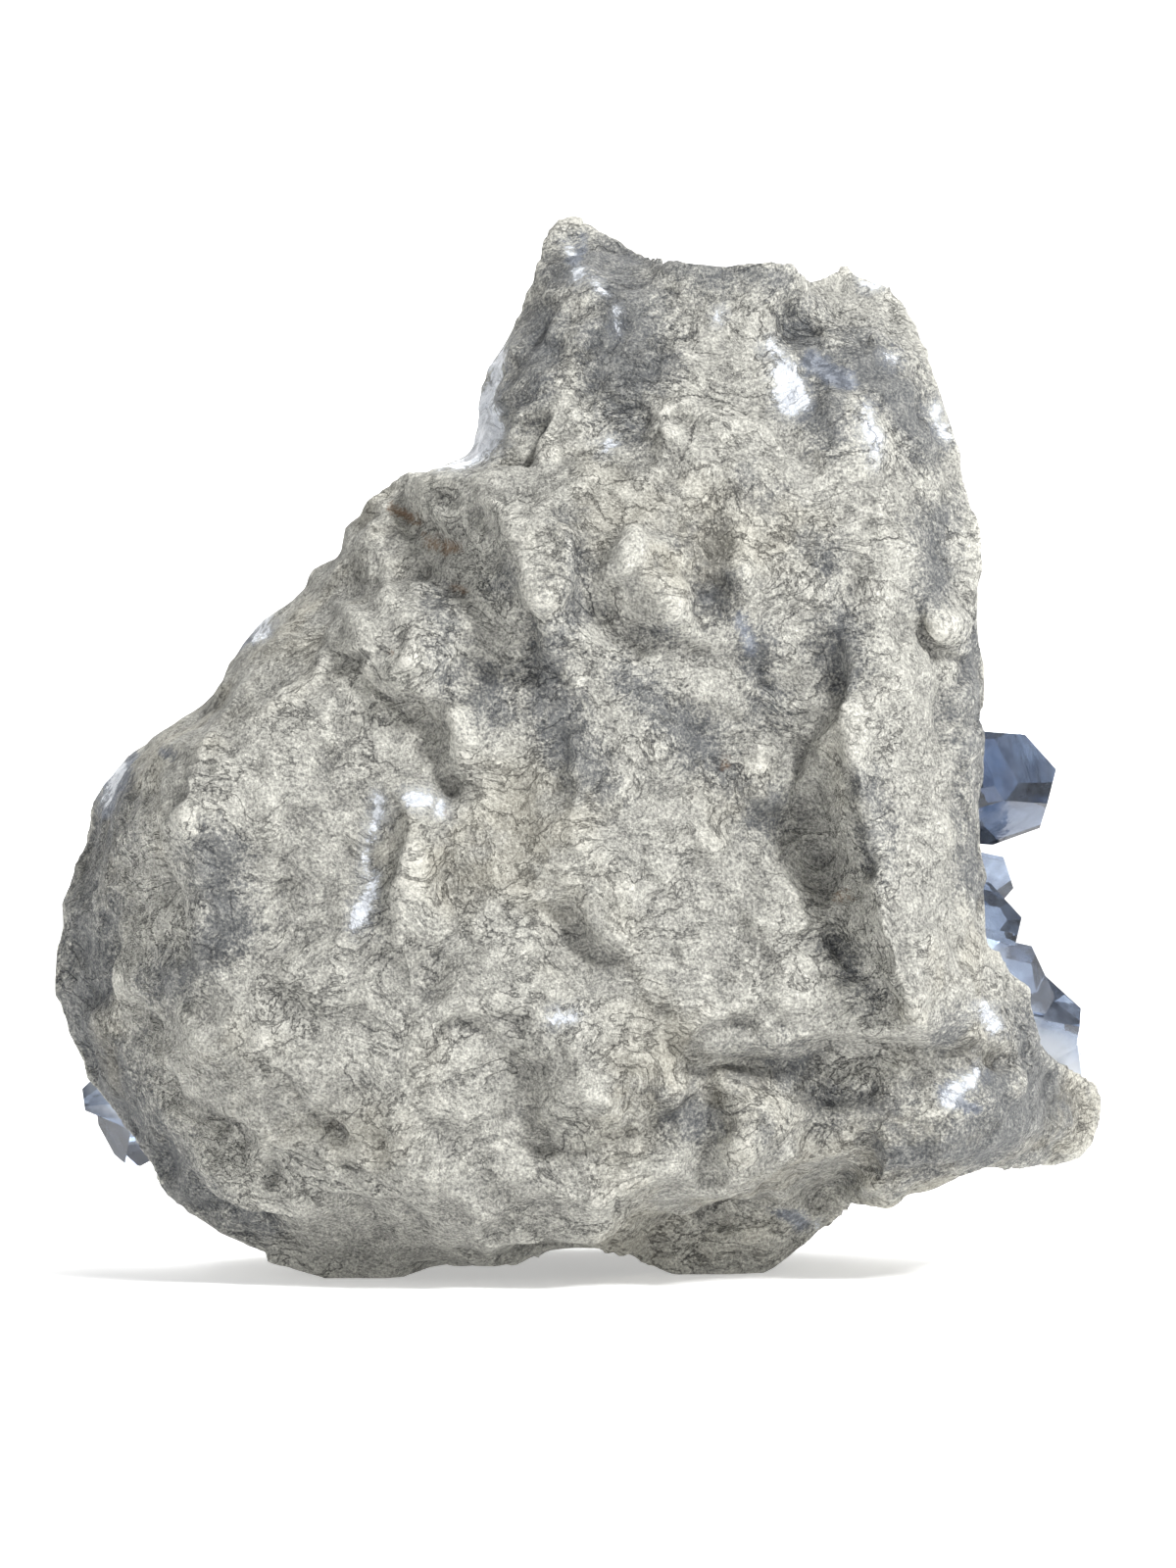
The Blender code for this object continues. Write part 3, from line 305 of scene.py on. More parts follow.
def put_points(mesh, points):
    mesh.vertices.foreach_set("co", points.astype(np.float32).ravel())
    mesh.update()


def averaged(values, edges, times):
    """Values at points, evened out with their neighbours' this many times."""
    count = np.bincount(edges.ravel(), minlength=len(values))[:, None]
    for _ in range(times):
        total = np.zeros_like(values)
        for axis in range(values.shape[1]):
            column = values[:, axis]
            total[:, axis] = np.bincount(edges[:, 0], column[edges[:, 1]], len(values))
            total[:, axis] += np.bincount(edges[:, 1], column[edges[:, 0]], len(values))
        values = 0.5 * values + 0.5 * total / count
    return values


def standing_out(points, edges, normals, times):
    """How far each point stands out from the shape averaged round it."""
    return ((points - averaged(points, edges, times)) * normals).sum(1)


def add_field(mesh, name, values):
    mesh.attributes.new(name, "FLOAT", "POINT").data.foreach_set("value", values.astype(np.float32))


def surface_of(node):
    """A search tree of a CAD node's surface."""
    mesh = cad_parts[node].data
    return BVHTree.FromPolygons([v.co for v in mesh.vertices], [p.vertices[:] for p in mesh.polygons])


def distances_to(surface, points):
    """How far each point is from a surface, in millimetres."""
    return np.array([surface.find_nearest(Vector(point))[3] for point in points]) / MM


def broken_flat(place):
    """The height of a broken flat at a place: each cell of the stone tilts its own way, up to a narrow edge.

    A cell's tilt is noise read CELL_STEP times as far apart as the cells, so that neighbours differ.
    """
    height = total = 0.0
    distances, cells = noise.voronoi(place)
    for distance, cell in zip(distances, cells):
        share = math.exp((distances[0] - distance) * FLAT_EDGES)
        height += share * (place - cell).dot(noise.noise_vector(cell * CELL_STEP)) * FLAT_TILT
        total += share
    return height / total


# The mesh is even and fine where the rock shows its weathered side, and coarser behind and in the hollow.
crust_surface = surface_of("crystal_crust")
rock = merged_copy("matrix", "rock")
remeshed(rock, VOXEL)
put_points(rock.data, averaged(points_of(rock.data), edges_of(rock.data), SMOOTHINGS))
facing = normals_of(rock.data)[:, 1] < FINE_TURN
shown = distances_to(crust_surface, points_of(rock.data)) > FINE_REACH
rock.vertex_groups.new(name="fine").add(np.nonzero(facing & shown)[0].tolist(), 1.0, "REPLACE")
fewer = rock.modifiers.new("coarser behind", "DECIMATE")
fewer.vertex_group = "fine"
fewer.invert_vertex_group = True
fewer.vertex_group_factor = FINE_WEIGHT
fewer.ratio = KEPT_SHARE
settled(rock)
rock.vertex_groups.clear()

points = points_of(rock.data)
edges = edges_of(rock.data)
normals = normals_of(rock.data)
to_crust = distances_to(crust_surface, points)
by_crust = np.clip(1 - to_crust / RIM_REACH, 0, 1)
front = np.clip((-normals[:, 1] - FRONT_FADE[0]) / (FRONT_FADE[1] - FRONT_FADE[0]), 0, 1)
foot = np.clip(points[:, 2] / (FOOT_FADE * MM), 0, 1)
rise = standing_out(points, edges, normals, SHARPENED_OVER)
rise = np.where(rise > 0, rise * SHARPENING, -rise * FILLING) * front * foot * (1 - by_crust)
points += normals * rise[:, None]
put_points(rock.data, points)

# The marked forms and the roughness, as one lift along the normals. The seed makes the noise repeatable.
noise.seed_set(ROCK_SEED)
normals = normals_of(rock.data)
x, z = seen_places(points)
for size, height in WANDER:
    drift = np.array([noise.noise_vector(Vector(place)) for place in np.column_stack((x, z, x * 0)) / size])
    x, z = x + drift[:, 0] * height, z + drift[:, 1] * height
lift = np.zeros(len(points))
for path, width, depth in CREASES:
    lift -= depth * notch(from_path(x, z, path)[0] / width) * front
for path, height, reach in LEDGES:
    away, side = from_path(x, z, path)
    lift += height * side * np.tanh(away / LEDGE_WIDTH) * swell(away / reach) * front
for sign, forms in ((-1, PITS), (1, KNOBS)):
    for (middle_x, middle_z), (half_width, half_height), depth in forms:
        away = np.hypot((x - middle_x) / half_width, (z - middle_z) / half_height)
        lift += sign * depth * swell(away) * front
rough = np.zeros(len(points))
for number, point in enumerate(points / MM):
    place = Vector(point)
    for size, height in LUMPS:
        rough[number] += height * noise.noise(place / size)
    for size, steepness in FLATS:
        warped = place / size + noise.noise_vector(place / size * WARP_FINENESS) * WARP
        rough[number] += steepness * size * broken_flat(warped)
    for size, height in WRINKLES:
        rough[number] += height * (abs(noise.noise(place * WRINKLE_STRETCH / size)) - WRINKLE_MIDDLE)
lift += rough * (AT_THE_SIDES + (1 - AT_THE_SIDES) * front)
lift = lift * (1 - by_crust) + RIM_SWELL * by_crust
moved = points + normals * (lift * foot * MM)[:, None]
moved[:, 2] = np.maximum(moved[:, 2], 0)
put_points(rock.data, moved)
rock.data.shade_smooth()
print("rock", len(rock.data.vertices), "points", len(rock.data.polygons), "faces")

# Where celestite and rust show on the front, and where the stone is darker, partly as darker stone and partly
# as painted shade in valleys, beneath ledges and on faces turned from the light: the path with its half
# widths.
VEINS = [
    [(30.6, 160.6, 0.6), (32.2, 158, 0.7), (33.2, 154.5, 1.7), (34.6, 151.2, 2.2), (34.2, 149.2, 1.1)],
    [(47, 149, 0.6), (46.9, 145.6, 1.3), (48.3, 142.8, 1.1), (48.9, 139.6, 0.4)],
    [(1, 169.6, 0.9), (2.6, 168.6, 0.5)], [(4.2, 165.2, 0.5), (4.8, 162.6, 0.3)], [(21.8, 165, 0.3)],
    [(52, 157.7, 0.4)], [(3.6, 143.2, 0.6), (3.1, 140.6, 0.5)], [(46.8, 171.2, 0.5), (49.5, 170, 0.5)],
    [(60.3, 149.5, 0.4), (61.6, 144, 0.6)],
    [(-14.6, 160, 0.6), (-16.3, 155, 1.2), (-16.5, 151, 1.8), (-16.4, 147, 2.7), (-18.6, 143.2, 2.5),
      (-21, 140.9, 2.1), (-25, 139.4, 1.1)],
    [(-36.3, 82.9, 0.5), (-37, 77.7, 0.5), (-37.7, 69.9, 0.4)],
    [(-36, 69.8, 0.6), (-37, 65.7, 1), (-38.6, 61.8, 1.4)], [(-30.7, 82.3, 0.8), (-27.2, 81.9, 0.7)],
    [(-24.3, 81.2, 0.6), (-24.3, 80, 0.5)], [(-5.7, 45.2, 0.9), (-2.4, 45.7, 0.8)],
    [(61.5, 31.5, 1.2), (63.4, 34.2, 1.1), (66, 36, 0.7)], [(66.2, 46.2, 1), (69, 43.4, 0.9)],
    [(38.4, 9.8, 0.7)], [(-53.5, 114.6, 0.6), (-56.5, 110.2, 0.9)], [(-80, 88, 0.4), (-82.6, 82, 0.5)],
    [(-3.5, 176.5, 1)], [(-1.8, 171.4, 0.8)],
]
WINDOWS = [
    [(-78.2, 89, 1.4), (-80, 86, 2.0), (-82.3, 80.6, 1.6)], [(-72, 90.8, 0.9)],
    [(38.2, 156.8, 1.9), (43.5, 154.6, 1.6)], [(26.2, 113.4, 0.8), (28.6, 107.6, 0.7)],
    [(35.3, 10.4, 1.7), (32.5, 12.6, 1.0)], [(-55.5, 112, 1.2), (-59.6, 107.6, 0.9)],
    [(62, 33, 1.8), (66, 30, 1.2)], [(-3, 174.4, 1.2), (-0.5, 178, 0.9)],
    [(-19.8, 148.6, 0.9), (-20.4, 145.4, 0.7)],
]
RUSTS = [
    [(-27, 125.4, 0.9), (-23.7, 125.2, 0.5)], [(-23, 119, 0.7), (-21, 118, 0.4)], [(-23.7, 80.3, 0.3)],
    [(23.7, 89, 1.0)], [(-34.3, 107.3, 0.7)], [(-33, 131, 0.8), (-29, 128.6, 0.5)], [(43.5, 66, 0.5)],
]
# The darker patches: partly darker stone, partly painted shade in valleys, beneath ledges, on shaded facets
# and along the left edge, which faces away from the light.
DARKS_AND_SHADE = [
    [(5, 167, 7), (7, 156, 8), (5, 149, 5)], [(36, 162.5, 4.5), (41, 155.5, 5)],
    [(21.5, 125.5, 5.5), (21.5, 117.5, 4)], [(-26, 117, 2), (-24, 104, 3)],
    [(-17.5, 103, 3), (-15, 97, 3)], [(-15.5, 119, 2.5)], [(38, 31, 4.5), (50, 30.5, 4.5)],
    [(-80, 84, 3), (-84, 70, 4), (-87, 50, 6), (-82, 34, 6), (-72, 20, 4.5), (-56, 9, 3.5)],
    [(-37.5, 62, 2)], [(12, 111, 2)], [(46, 160, 4), (53, 150, 5), (57, 143, 4)],
    [(-5, 173, 4), (4, 177, 4), (32, 171, 3)], [(30, 108, 3), (31, 98, 3)],
    [(72, 46, 3), (79, 30, 6), (68, 24, 5), (50, 21, 3.5)],
    [(-2, 127, 3), (-3, 114, 4), (-8, 103, 5), (-4, 92, 5), (2, 84, 3)],
    [(6, 104, 3), (20, 91, 4), (31, 80, 3)], [(42, 144, 3), (40, 149, 4)], [(43, 114, 3), (43, 104, 4)],
    [(-64, 74, 5), (-62, 62, 5), (-70, 52, 4)], [(66, 110, 4), (67, 96, 5), (68, 66, 3)],
    [(47, 84, 2.5), (49, 70, 2.5)], [(41, 58, 2.5), (48, 49, 3)], [(62, 43, 3), (70, 35, 4)],
    [(13, 30, 3), (28, 27, 3)], [(25, 35, 3.5), (36, 36, 3)],
    [(-32, 148, 2), (-10, 151, 4), (-8, 164, 4)], [(27, 133, 3), (40, 124, 3)],
    [(60, 130, 4), (58, 118, 3)],
]

# A place counts as FAR_OFF where no mark is near it. Marks also fade as the rock turns from the front: by
# FADED_SIDEWAYS where it faces sideways, and on from there by FADE_SPEED times its turn to the back.
FAR_OFF = 30.0
FADED_SIDEWAYS = 0.15
FADE_SPEED = 1.5

# Relief that the stone's tone follows as painted light and shade, raised parts lighter and hollows darker:
# its name, how widely the shape round it is averaged, and how often the result is evened. How far the
# stone faces down is evened UNDER_EVENED times; faces turned down are darker, as painted shade.
RELIEF_SHADES = [("raised", 6, 1), ("broadly_raised", 60, 4)]
UNDER_EVENED = 12


def field_of(marks):
    """How far each point of the rock is outside the nearest mark, below 0 inside one, in millimetres."""
    nearest = np.full(len(points), FAR_OFF)
    for path in marks:
        nearest = np.minimum(nearest, from_path(x, z, path)[0])
    return nearest + FAR_OFF * np.clip(normals[:, 1] * FADE_SPEED + FADED_SIDEWAYS, 0, 1)


for name, marks in (("vein", VEINS), ("window", WINDOWS), ("rust", RUSTS), ("dark", DARKS_AND_SHADE)):
    add_field(rock.data, name, field_of(marks))
add_field(rock.data, "rim", to_crust)
moved = points_of(rock.data)
final_normals = normals_of(rock.data)
# How far each face turns down, for a painted shade on the stone's undersides.
add_field(rock.data, "under", averaged(np.clip(-final_normals[:, 2:], 0, 1), edges, UNDER_EVENED)[:, 0])
for name, over, evened in RELIEF_SHADES:
    rise = standing_out(moved, edges, final_normals, over) / MM
    add_field(rock.data, name, averaged(rise[:, None], edges, evened)[:, 0])


class Shade:
    """The output of a shader node. Sums and products of outputs and numbers add Math nodes."""

    def __init__(self, tree, output=None):
        self.tree = tree
        self.output = output

    def node(self, kind, settings=None, inputs=None, result=0):
        made = self.tree.nodes.new("ShaderNode" + kind)
        for name, value in (settings or {}).items():
            if name == "stops":
                ramp = made.color_ramp.elements
                while len(ramp) < len(value):
                    ramp.new(1.0)
                for stop, (place, colour) in zip(ramp, value):
                    stop.position = place
                    stop.color = colour
            else:
                setattr(made, name, value)
        for name, value in (inputs or {}).items():
            if isinstance(value, Shade):
                value.feed(made.inputs[name])
            else:
                made.inputs[name].default_value = value
        return Shade(self.tree, made.outputs[result])

    def feed(self, socket):
        """Links this output to a socket."""
        self.tree.links.new(self.output, socket)

    def maths(self, operation, first, second=0.0):
        return self.node("Math", {"operation": operation}, {0: first, 1: second})

    def __add__(self, other):
        return self.maths("ADD", self, other)

    def __sub__(self, other):
        return self.maths("SUBTRACT", self, other)

    def __rsub__(self, other):
        return self.maths("SUBTRACT", other, self)

    def __mul__(self, other):
        return self.maths("MULTIPLY", self, other)

    __radd__ = __add__
    __rmul__ = __mul__

    def off_middle(self):
        """How far this noise is from its middle, either way."""
        offset = self - 0.5
        return offset.maths("ABSOLUTE", offset)

    def range(self, low, high, to_low=0.0, to_high=1.0):
        """This value carried smoothly from one range to another, and held at its ends."""
        limits = {"Value": self, "From Min": low, "From Max": high, "To Min": to_low, "To Max": to_high}
        return self.node("MapRange", {"interpolation_type": "SMOOTHSTEP"}, limits)

    def grain(self, size, detail=2.0, roughness=0.5, stretch=(1, 1, 1), result="Fac"):
        """Noise with lumps of a size in millimetres, read at this place."""
        scale = tuple(1 / (size * MM * s) for s in stretch)
        place = self.node("VectorMath", {"operation": "MULTIPLY"}, {0: self, 1: scale})
        values = {"Vector": place, "Scale": 1.0, "Detail": detail, "Roughness": roughness}
        return self.node("TexNoise", None, values, result)

    def drifting(self, size, reach):
        """This place pushed about by up to a reach in millimetres."""
        push = self.grain(size, detail=1.0, result="Color")
        reaches = (reach * MM, reach * MM, reach * MM)
        return self.node("VectorMath", {"operation": "MULTIPLY_ADD"}, {0: push, 1: reaches, 2: self})

    def chips(self, size):
        """The height of flat chips of a size in millimetres, each tilted its own way."""
        spread = self.node("VectorMath", {"operation": "SCALE"}, {0: self, "Scale": 1 / (size * MM)})
        cells = self.node("TexVoronoi", None, {"Vector": spread, "Scale": 1.0}).output.node.outputs
        turn = Shade(self.tree, cells["Color"])
        tilt = self.node("VectorMath", {"operation": "SUBTRACT"}, {0: turn, 1: (0.5, 0.5, 0.5)})
        middle = Shade(self.tree, cells["Position"])
        offset = self.node("VectorMath", {"operation": "SUBTRACT"}, {0: spread, 1: middle})
        return self.node("VectorMath", {"operation": "DOT_PRODUCT"}, {0: offset, 1: tilt}, "Value")

    def lines(self, width):
        """Thin lines where this noise passes its middle."""
        return 1.0 - self.off_middle().range(0.0, width)

    def blend(self, first, second):
        """Two colours mixed by this value. On a Mix node, 6 and 7 are its colours and 2 is the mixed one."""
        return self.node("Mix", {"data_type": "RGBA"}, {0: self, 6: first, 7: second}, 2)


def new_material(name, colour):
    """A node material, with a Shade that adds nodes to it and its Principled shader."""
    material = bpy.data.materials.new(name)
    material.use_nodes = True
    material.diffuse_color = colour
    tree = material.node_tree
    shader = next(n for n in tree.nodes if n.type == "BSDF_PRINCIPLED")
    return material, Shade(tree), shader


def linear(red, green, blue):
    """A colour given in screen values from 0 to 255, as the shader takes it."""
    def one(value):
        share = value / 255
        return share / 12.92 if share <= 0.04045 else ((share + 0.055) / 1.055) ** 2.4
    return (one(red), one(green), one(blue), 1.0)


STONE_TONES = [
    (0.0, linear(66, 66, 66)), (0.3, linear(112, 112, 109)), (0.55, linear(152, 151, 145)),
    (0.8, linear(186, 185, 177)), (1.0, linear(216, 214, 205)),
]
STONE_MIDDLE = linear(152, 151, 145)
STONE_BLUISH = linear(104, 110, 118)
STONE_YELLOW = linear(166, 156, 128)
RUST = linear(128, 94, 58)
WINDOW_BLUE = linear(100, 106, 117)
WINDOW_PALE = linear(146, 152, 163)
CELESTITE_WHITE = linear(226, 230, 236)
CELESTITE_BLUE = linear(168, 175, 187)

# How much each tint covers the stone where it is strongest.
BLUISH_SHARE = 0.25
YELLOW_SHARE = 0.2
RUST_SHARE = 0.6
WINDOW_SHARE = 0.8
HALO_SHARE = 0.2

# How matt stone and celestite are, and how many millimetres the chips' height counts for.
STONE_ROUGHNESS = 0.92
VEIN_ROUGHNESS = 0.35
CHIP_DEPTH = 1.0

marl, start, shader = new_material("marl", STONE_MIDDLE)
place = start.node("TexCoord", result="Object")
field = {}
for name in ("vein", "window", "rust", "dark", "rim", "under", "raised", "broadly_raised"):
    field[name] = start.node("Attribute", {"attribute_name": name}, result="Fac")

# The stone's grain from fine to coarse. The middle sizes swirl, as its wrinkles do.
swirled = place.drifting(size=16, reach=14)
speckle = place.grain(0.5, detail=2.0, roughness=0.75)
fibres = swirled.grain(1.3, detail=3.0, roughness=0.65, stretch=(1.2, 1.2, 0.9))
crumbs = swirled.grain(2.4, detail=4.0, roughness=0.6, stretch=(1.3, 1.3, 0.9))
folds = swirled.grain(5.5, detail=5.0, roughness=0.62, stretch=(1.4, 1.4, 0.9))
patches = place.grain(13, detail=4.0, roughness=0.6)
clouds = place.grain(38, detail=3.0, roughness=0.5)
# The creased and wrinkled lines sink into the bump and also darken the tone: painted shade in these grooves.
creased = crumbs.off_middle()
wrinkled = folds.lines(0.02) * patches.range(0.35, 0.6)
flecks = fibres.range(0.42, 0.6)

# What the marks' edges are pushed in or out by, in millimetres, 0 where each noise is at its middle.
ragged = speckle * 1.6 + fibres * 2.4 + patches * 2.4 - 3.2


def within(name, raggedness, outer, inner):
    """How much a mark shows, from 0 at the outer distance from it to 1 at the inner one."""
    return (field[name] + ragged * raggedness).range(outer, inner)


# Darker stone and painted shade, which also take a bluish tint.
darkened_and_shaded = within("dark", raggedness=4, outer=2.5, inner=-4.0)
rusted = within("rust", raggedness=1.3, outer=0.9, inner=-0.9)
windowed = within("window", raggedness=1.2, outer=0.9, inner=-0.7)
haloed = within("vein", raggedness=1.2, outer=2.2, inner=0.0)
veined = within("vein", raggedness=1.3, outer=0.4, inner=-0.35)
rimmed = within("rim", raggedness=1.6, outer=3.0, inner=1.4)
yellowed = clouds.range(0.5, 0.68) * patches.range(0.4, 0.6)
crystalline = veined.maths("MAXIMUM", veined, rimmed)

# The stone's tone comes from its grain and from painted light and shade that follow its shape: raised parts
# lighter, hollows and faces turned down darker. The tints and the celestite lie over it.
grains = speckle * 1.5 + fibres * 0.4 + creased * 1.2
painted_relief_shade = field["raised"] * 0.3 + field["broadly_raised"] * 0.06 - field["under"] * 0.05
tone = grains + patches * 0.32 + painted_relief_shade - wrinkled * 0.24 - darkened_and_shaded * 0.3 - 0.55
colour = tone.node("ValToRGB", {"stops": STONE_TONES}, {0: tone})
colour = (darkened_and_shaded * BLUISH_SHARE).blend(colour, STONE_BLUISH)
colour = (yellowed * YELLOW_SHARE).blend(colour, STONE_YELLOW)
colour = (rusted * RUST_SHARE).blend(colour, RUST)
colour = (windowed * WINDOW_SHARE).blend(colour, flecks.blend(WINDOW_BLUE, WINDOW_PALE))
colour = (haloed * HALO_SHARE).blend(colour, CELESTITE_BLUE)
celestite_tint = (flecks * (1.0 - veined * 0.6)).blend(CELESTITE_WHITE, CELESTITE_BLUE)
colour = crystalline.blend(colour, celestite_tint)
chipped = place.drifting(size=2.5, reach=1.6)
height = chipped.chips(3.4) * 1.7 + chipped.chips(1.5) * 0.9 + speckle * 0.4 + creased * 1.2 - wrinkled * 0.5
bump = start.node("Bump", None, {"Strength": 1.0, "Distance": CHIP_DEPTH * MM, "Height": height})
colour.feed(shader.inputs["Base Color"])
crystalline.range(0, 1, STONE_ROUGHNESS, VEIN_ROUGHNESS).feed(shader.inputs["Roughness"])
bump.feed(shader.inputs["Normal"])
rock.data.materials.append(marl)

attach(rock, "root")
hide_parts("matrix")

# The crystal crust
# Celestite grew inwards from the wall of the hollow: a thin milky layer on the rock, then clear grey-blue
# crystals with flat faces and wedge-shaped ends, all grown together.
CRYSTAL_IOR = 1.62
CLEAR_TINT = (0.84, 0.9, 0.98, 1.0)
SMOKY_TINT = (0.42, 0.46, 0.54, 1.0)
CRYSTAL_BLUE = (0.46, 0.54, 0.65, 1.0)
MILKY_BLUE = linear(140, 152, 172)
MILKY_ROUGHNESS = 0.3
ABSORPTION = 220.0
CLEAR_ROUGHNESS = (0.02, 0.12)
SCRATCH_STRENGTH = 0.12
SCRATCH_DEPTH = 0.3

# The crystals are milky near the rock and clear up between the depths in RIND_FADE, which waver by
# RIND_WAVES. The milk turns from white to blue between those in WHITE_FADE. Further in the crystals are
# hazy, and less so where they reach past the rock's sides, between the half widths in OUTSIDE.
RIND_FADE = (10.0, 3.0)
RIND_WAVES = 8
RIND_SHARE = 0.8
WHITE_FADE = (1.5, 7.0)
HAZE_INSIDE = 0.52
HAZE_OUTSIDE = 0.1
HAZE_WAVES = 0.5
OUTSIDE = (58.0, 66.0)

crust = merged_copy("crystal_crust", "crystal_crust_faces")
rock_surface = surface_of("matrix")


def add_crystal_fields(piece, least_haze):
    """Adds two fields to a crystal piece: how far each point is from the rock, and how hazy it is."""
    points = points_of(piece.data)
    add_field(piece.data, "depth", distances_to(rock_surface, points))
    haze = np.interp(np.abs(points[:, 0]) / MM, OUTSIDE, (HAZE_INSIDE, HAZE_OUTSIDE))
    add_field(piece.data, "haze", np.maximum(haze, least_haze))


add_crystal_fields(crust, 0.0)

celestite, start, shader = new_material("celestite", CRYSTAL_BLUE)
place = start.node("TexCoord", result="Object")
depth = start.node("Attribute", {"attribute_name": "depth"}, result="Fac")
haze = start.node("Attribute", {"attribute_name": "haze"}, result="Fac")
veils = place.grain(5, detail=3.0, roughness=0.6)
scratches = place.grain(1.2, stretch=(1, 1, 5))
smoky = place.grain(9).range(0.44, 0.56)
smoky.blend(CLEAR_TINT, SMOKY_TINT).feed(shader.inputs["Base Color"])
shader.inputs["Transmission Weight"].default_value = 1.0
shader.inputs["IOR"].default_value = CRYSTAL_IOR
veils.range(0.3, 0.7, *CLEAR_ROUGHNESS).feed(shader.inputs["Roughness"])
scratched = {"Strength": SCRATCH_STRENGTH, "Distance": SCRATCH_DEPTH * MM, "Height": scratches}
bump = start.node("Bump", None, scratched)
bump.feed(shader.inputs["Normal"])
clear = Shade(start.tree, shader.outputs[0])
milk_colour = depth.range(*WHITE_FADE).blend(CELESTITE_WHITE, MILKY_BLUE)
milk_looks = {"Base Color": milk_colour, "Roughness": MILKY_ROUGHNESS, "IOR": CRYSTAL_IOR, "Normal": bump}
milk = start.node("BsdfPrincipled", None, milk_looks)
rind = (depth + veils * RIND_WAVES - RIND_WAVES / 2).range(*RIND_FADE) * RIND_SHARE
milky = rind.maths("MAXIMUM", rind, haze + veils * HAZE_WAVES - HAZE_WAVES / 2)
result = next(n for n in start.tree.nodes if n.type == "OUTPUT_MATERIAL")
start.node("MixShader", None, {0: milky, 1: clear, 2: milk}).feed(result.inputs["Surface"])
volume = start.node("VolumeAbsorption", None, {"Color": CRYSTAL_BLUE, "Density": ABSORPTION})
volume.feed(result.inputs["Volume"])
crust.data.materials.append(celestite)

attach(crust, "root")
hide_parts("crystal_crust")

# The druse
# Between the large crystals the crust is covered with hundreds of small ones, which started on the same
# milky layer. They have the same flat faces and wedge-shaped ends, and stand more or less square to the
# wall.
DRUSE_SPACING = 2.2
DRUSE_SIZES = (1.2, 3.4)
DRUSE_LEAN = 24.0
DRUSE_HAZE = 0.8
DRUSE_SEED = 5
TURN_SEED = 1
KIND_SEED = 2
SIZE_SEED = 3
MOST_TO_A_METRE_SQUARED = 400000.0

# They sit at these distances from the rock, on the rind and on the edge that faces the open side, and stop
# short of the rock's sides.
SEAT_VOXEL = 1.5
ON_RIND = (4.5, 9.0)
ON_EDGE = (0.7, 9.0)
EDGE_FACING = 0.6
DRUSE_HALF_WIDTH = 66.0

# The edges of celestite's unit cell, the longest along Z, and the faces of its crystals in these terms:
# four faces of the prism, two flatter sides and the wedges at the end. After each comes how far it is
# from the crystal's axis, at least and at most. The wedges' is where they meet the axis, as a share of
# its length.
CELL = np.array((5.352, 6.866, 8.359))
PRISM_FACES = ((1, 1, 0), (1, -1, 0), (-1, 1, 0), (-1, -1, 0))
PRISM_DISTANCE = (0.34, 0.44)
SIDE_FACES = ((0, 1, 0), (0, -1, 0))
SIDE_DISTANCE = (0.32, 0.46)
END_FACES = ((0, 1, 2), (0, -1, 2), (1, 0, 1), (-1, 0, 1))
END_SHARE = (0.9, 1.05)
CRYSTAL_LENGTHS = (0.7, 1.0, 1.3, 0.8)


def face_normal(face):
    """The direction that a crystal face looks in."""
    return Vector(np.array(face) / CELL).normalized()


def cut_by_face(bm, face, distance):
    """Takes off what lies past a crystal face and closes the cut."""
    normal = face_normal(face)
    place = normal * distance
    geometry = bm.verts[:] + bm.edges[:] + bm.faces[:]
    cut = bmesh.ops.bisect_plane(bm, geom=geometry, plane_co=place, plane_no=normal, clear_outer=True)
    bmesh.ops.holes_fill(bm, edges=[e for e in cut["geom_cut"] if isinstance(e, bmesh.types.BMEdge)])


def small_crystal(name, length, rng):
    """A crystal about 1 across, with its tip this far above its root and its foot as far below it."""
    bm = bmesh.new()
    bmesh.ops.create_cube(bm, size=2)
    bmesh.ops.scale(bm, vec=(1, 1, length), verts=bm.verts)
    for face in PRISM_FACES:
        cut_by_face(bm, face, rng.uniform(*PRISM_DISTANCE))
    for face in SIDE_FACES:
        cut_by_face(bm, face, rng.uniform(*SIDE_DISTANCE))
    for face in END_FACES:
        cut_by_face(bm, face, length * face_normal(face).z * rng.uniform(*END_SHARE))
    bmesh.ops.recalc_face_normals(bm, faces=bm.faces)
    mesh = bpy.data.meshes.new(name)
    bm.to_mesh(mesh)
    bm.free()
    return added(name, mesh)


class Tree:
    """A geometry node tree with named inputs."""

    def __init__(self, name, inputs):
        self.tree = bpy.data.node_groups.new(name, "GeometryNodeTree")
        self.tree.interface.new_socket("Geometry", in_out="OUTPUT", socket_type="NodeSocketGeometry")
        for label, kind in [("Geometry", "NodeSocketGeometry")] + inputs:
            self.tree.interface.new_socket(label, in_out="INPUT", socket_type=kind)
        self.given = self.tree.nodes.new("NodeGroupInput").outputs

    def node(self, kind, settings=None, inputs=None):
        made = self.tree.nodes.new(kind)
        for name, value in (settings or {}).items():
            setattr(made, name, value)
        for name, value in (inputs or {}).items():
            if isinstance(value, bpy.types.NodeSocket):
                self.tree.links.new(value, made.inputs[name])
            else:
                made.inputs[name].default_value = value
        return made.outputs

    def put_on(self, piece, values):
        """Adds the tree to a piece as a modifier, with its inputs set."""
        modifier = piece.modifiers.new(self.tree.name, "NODES")
        modifier.node_group = self.tree
        for item in self.tree.interface.items_tree:
            if item.in_out == "INPUT" and item.name in values:
                modifier[item.identifier] = values[item.name]


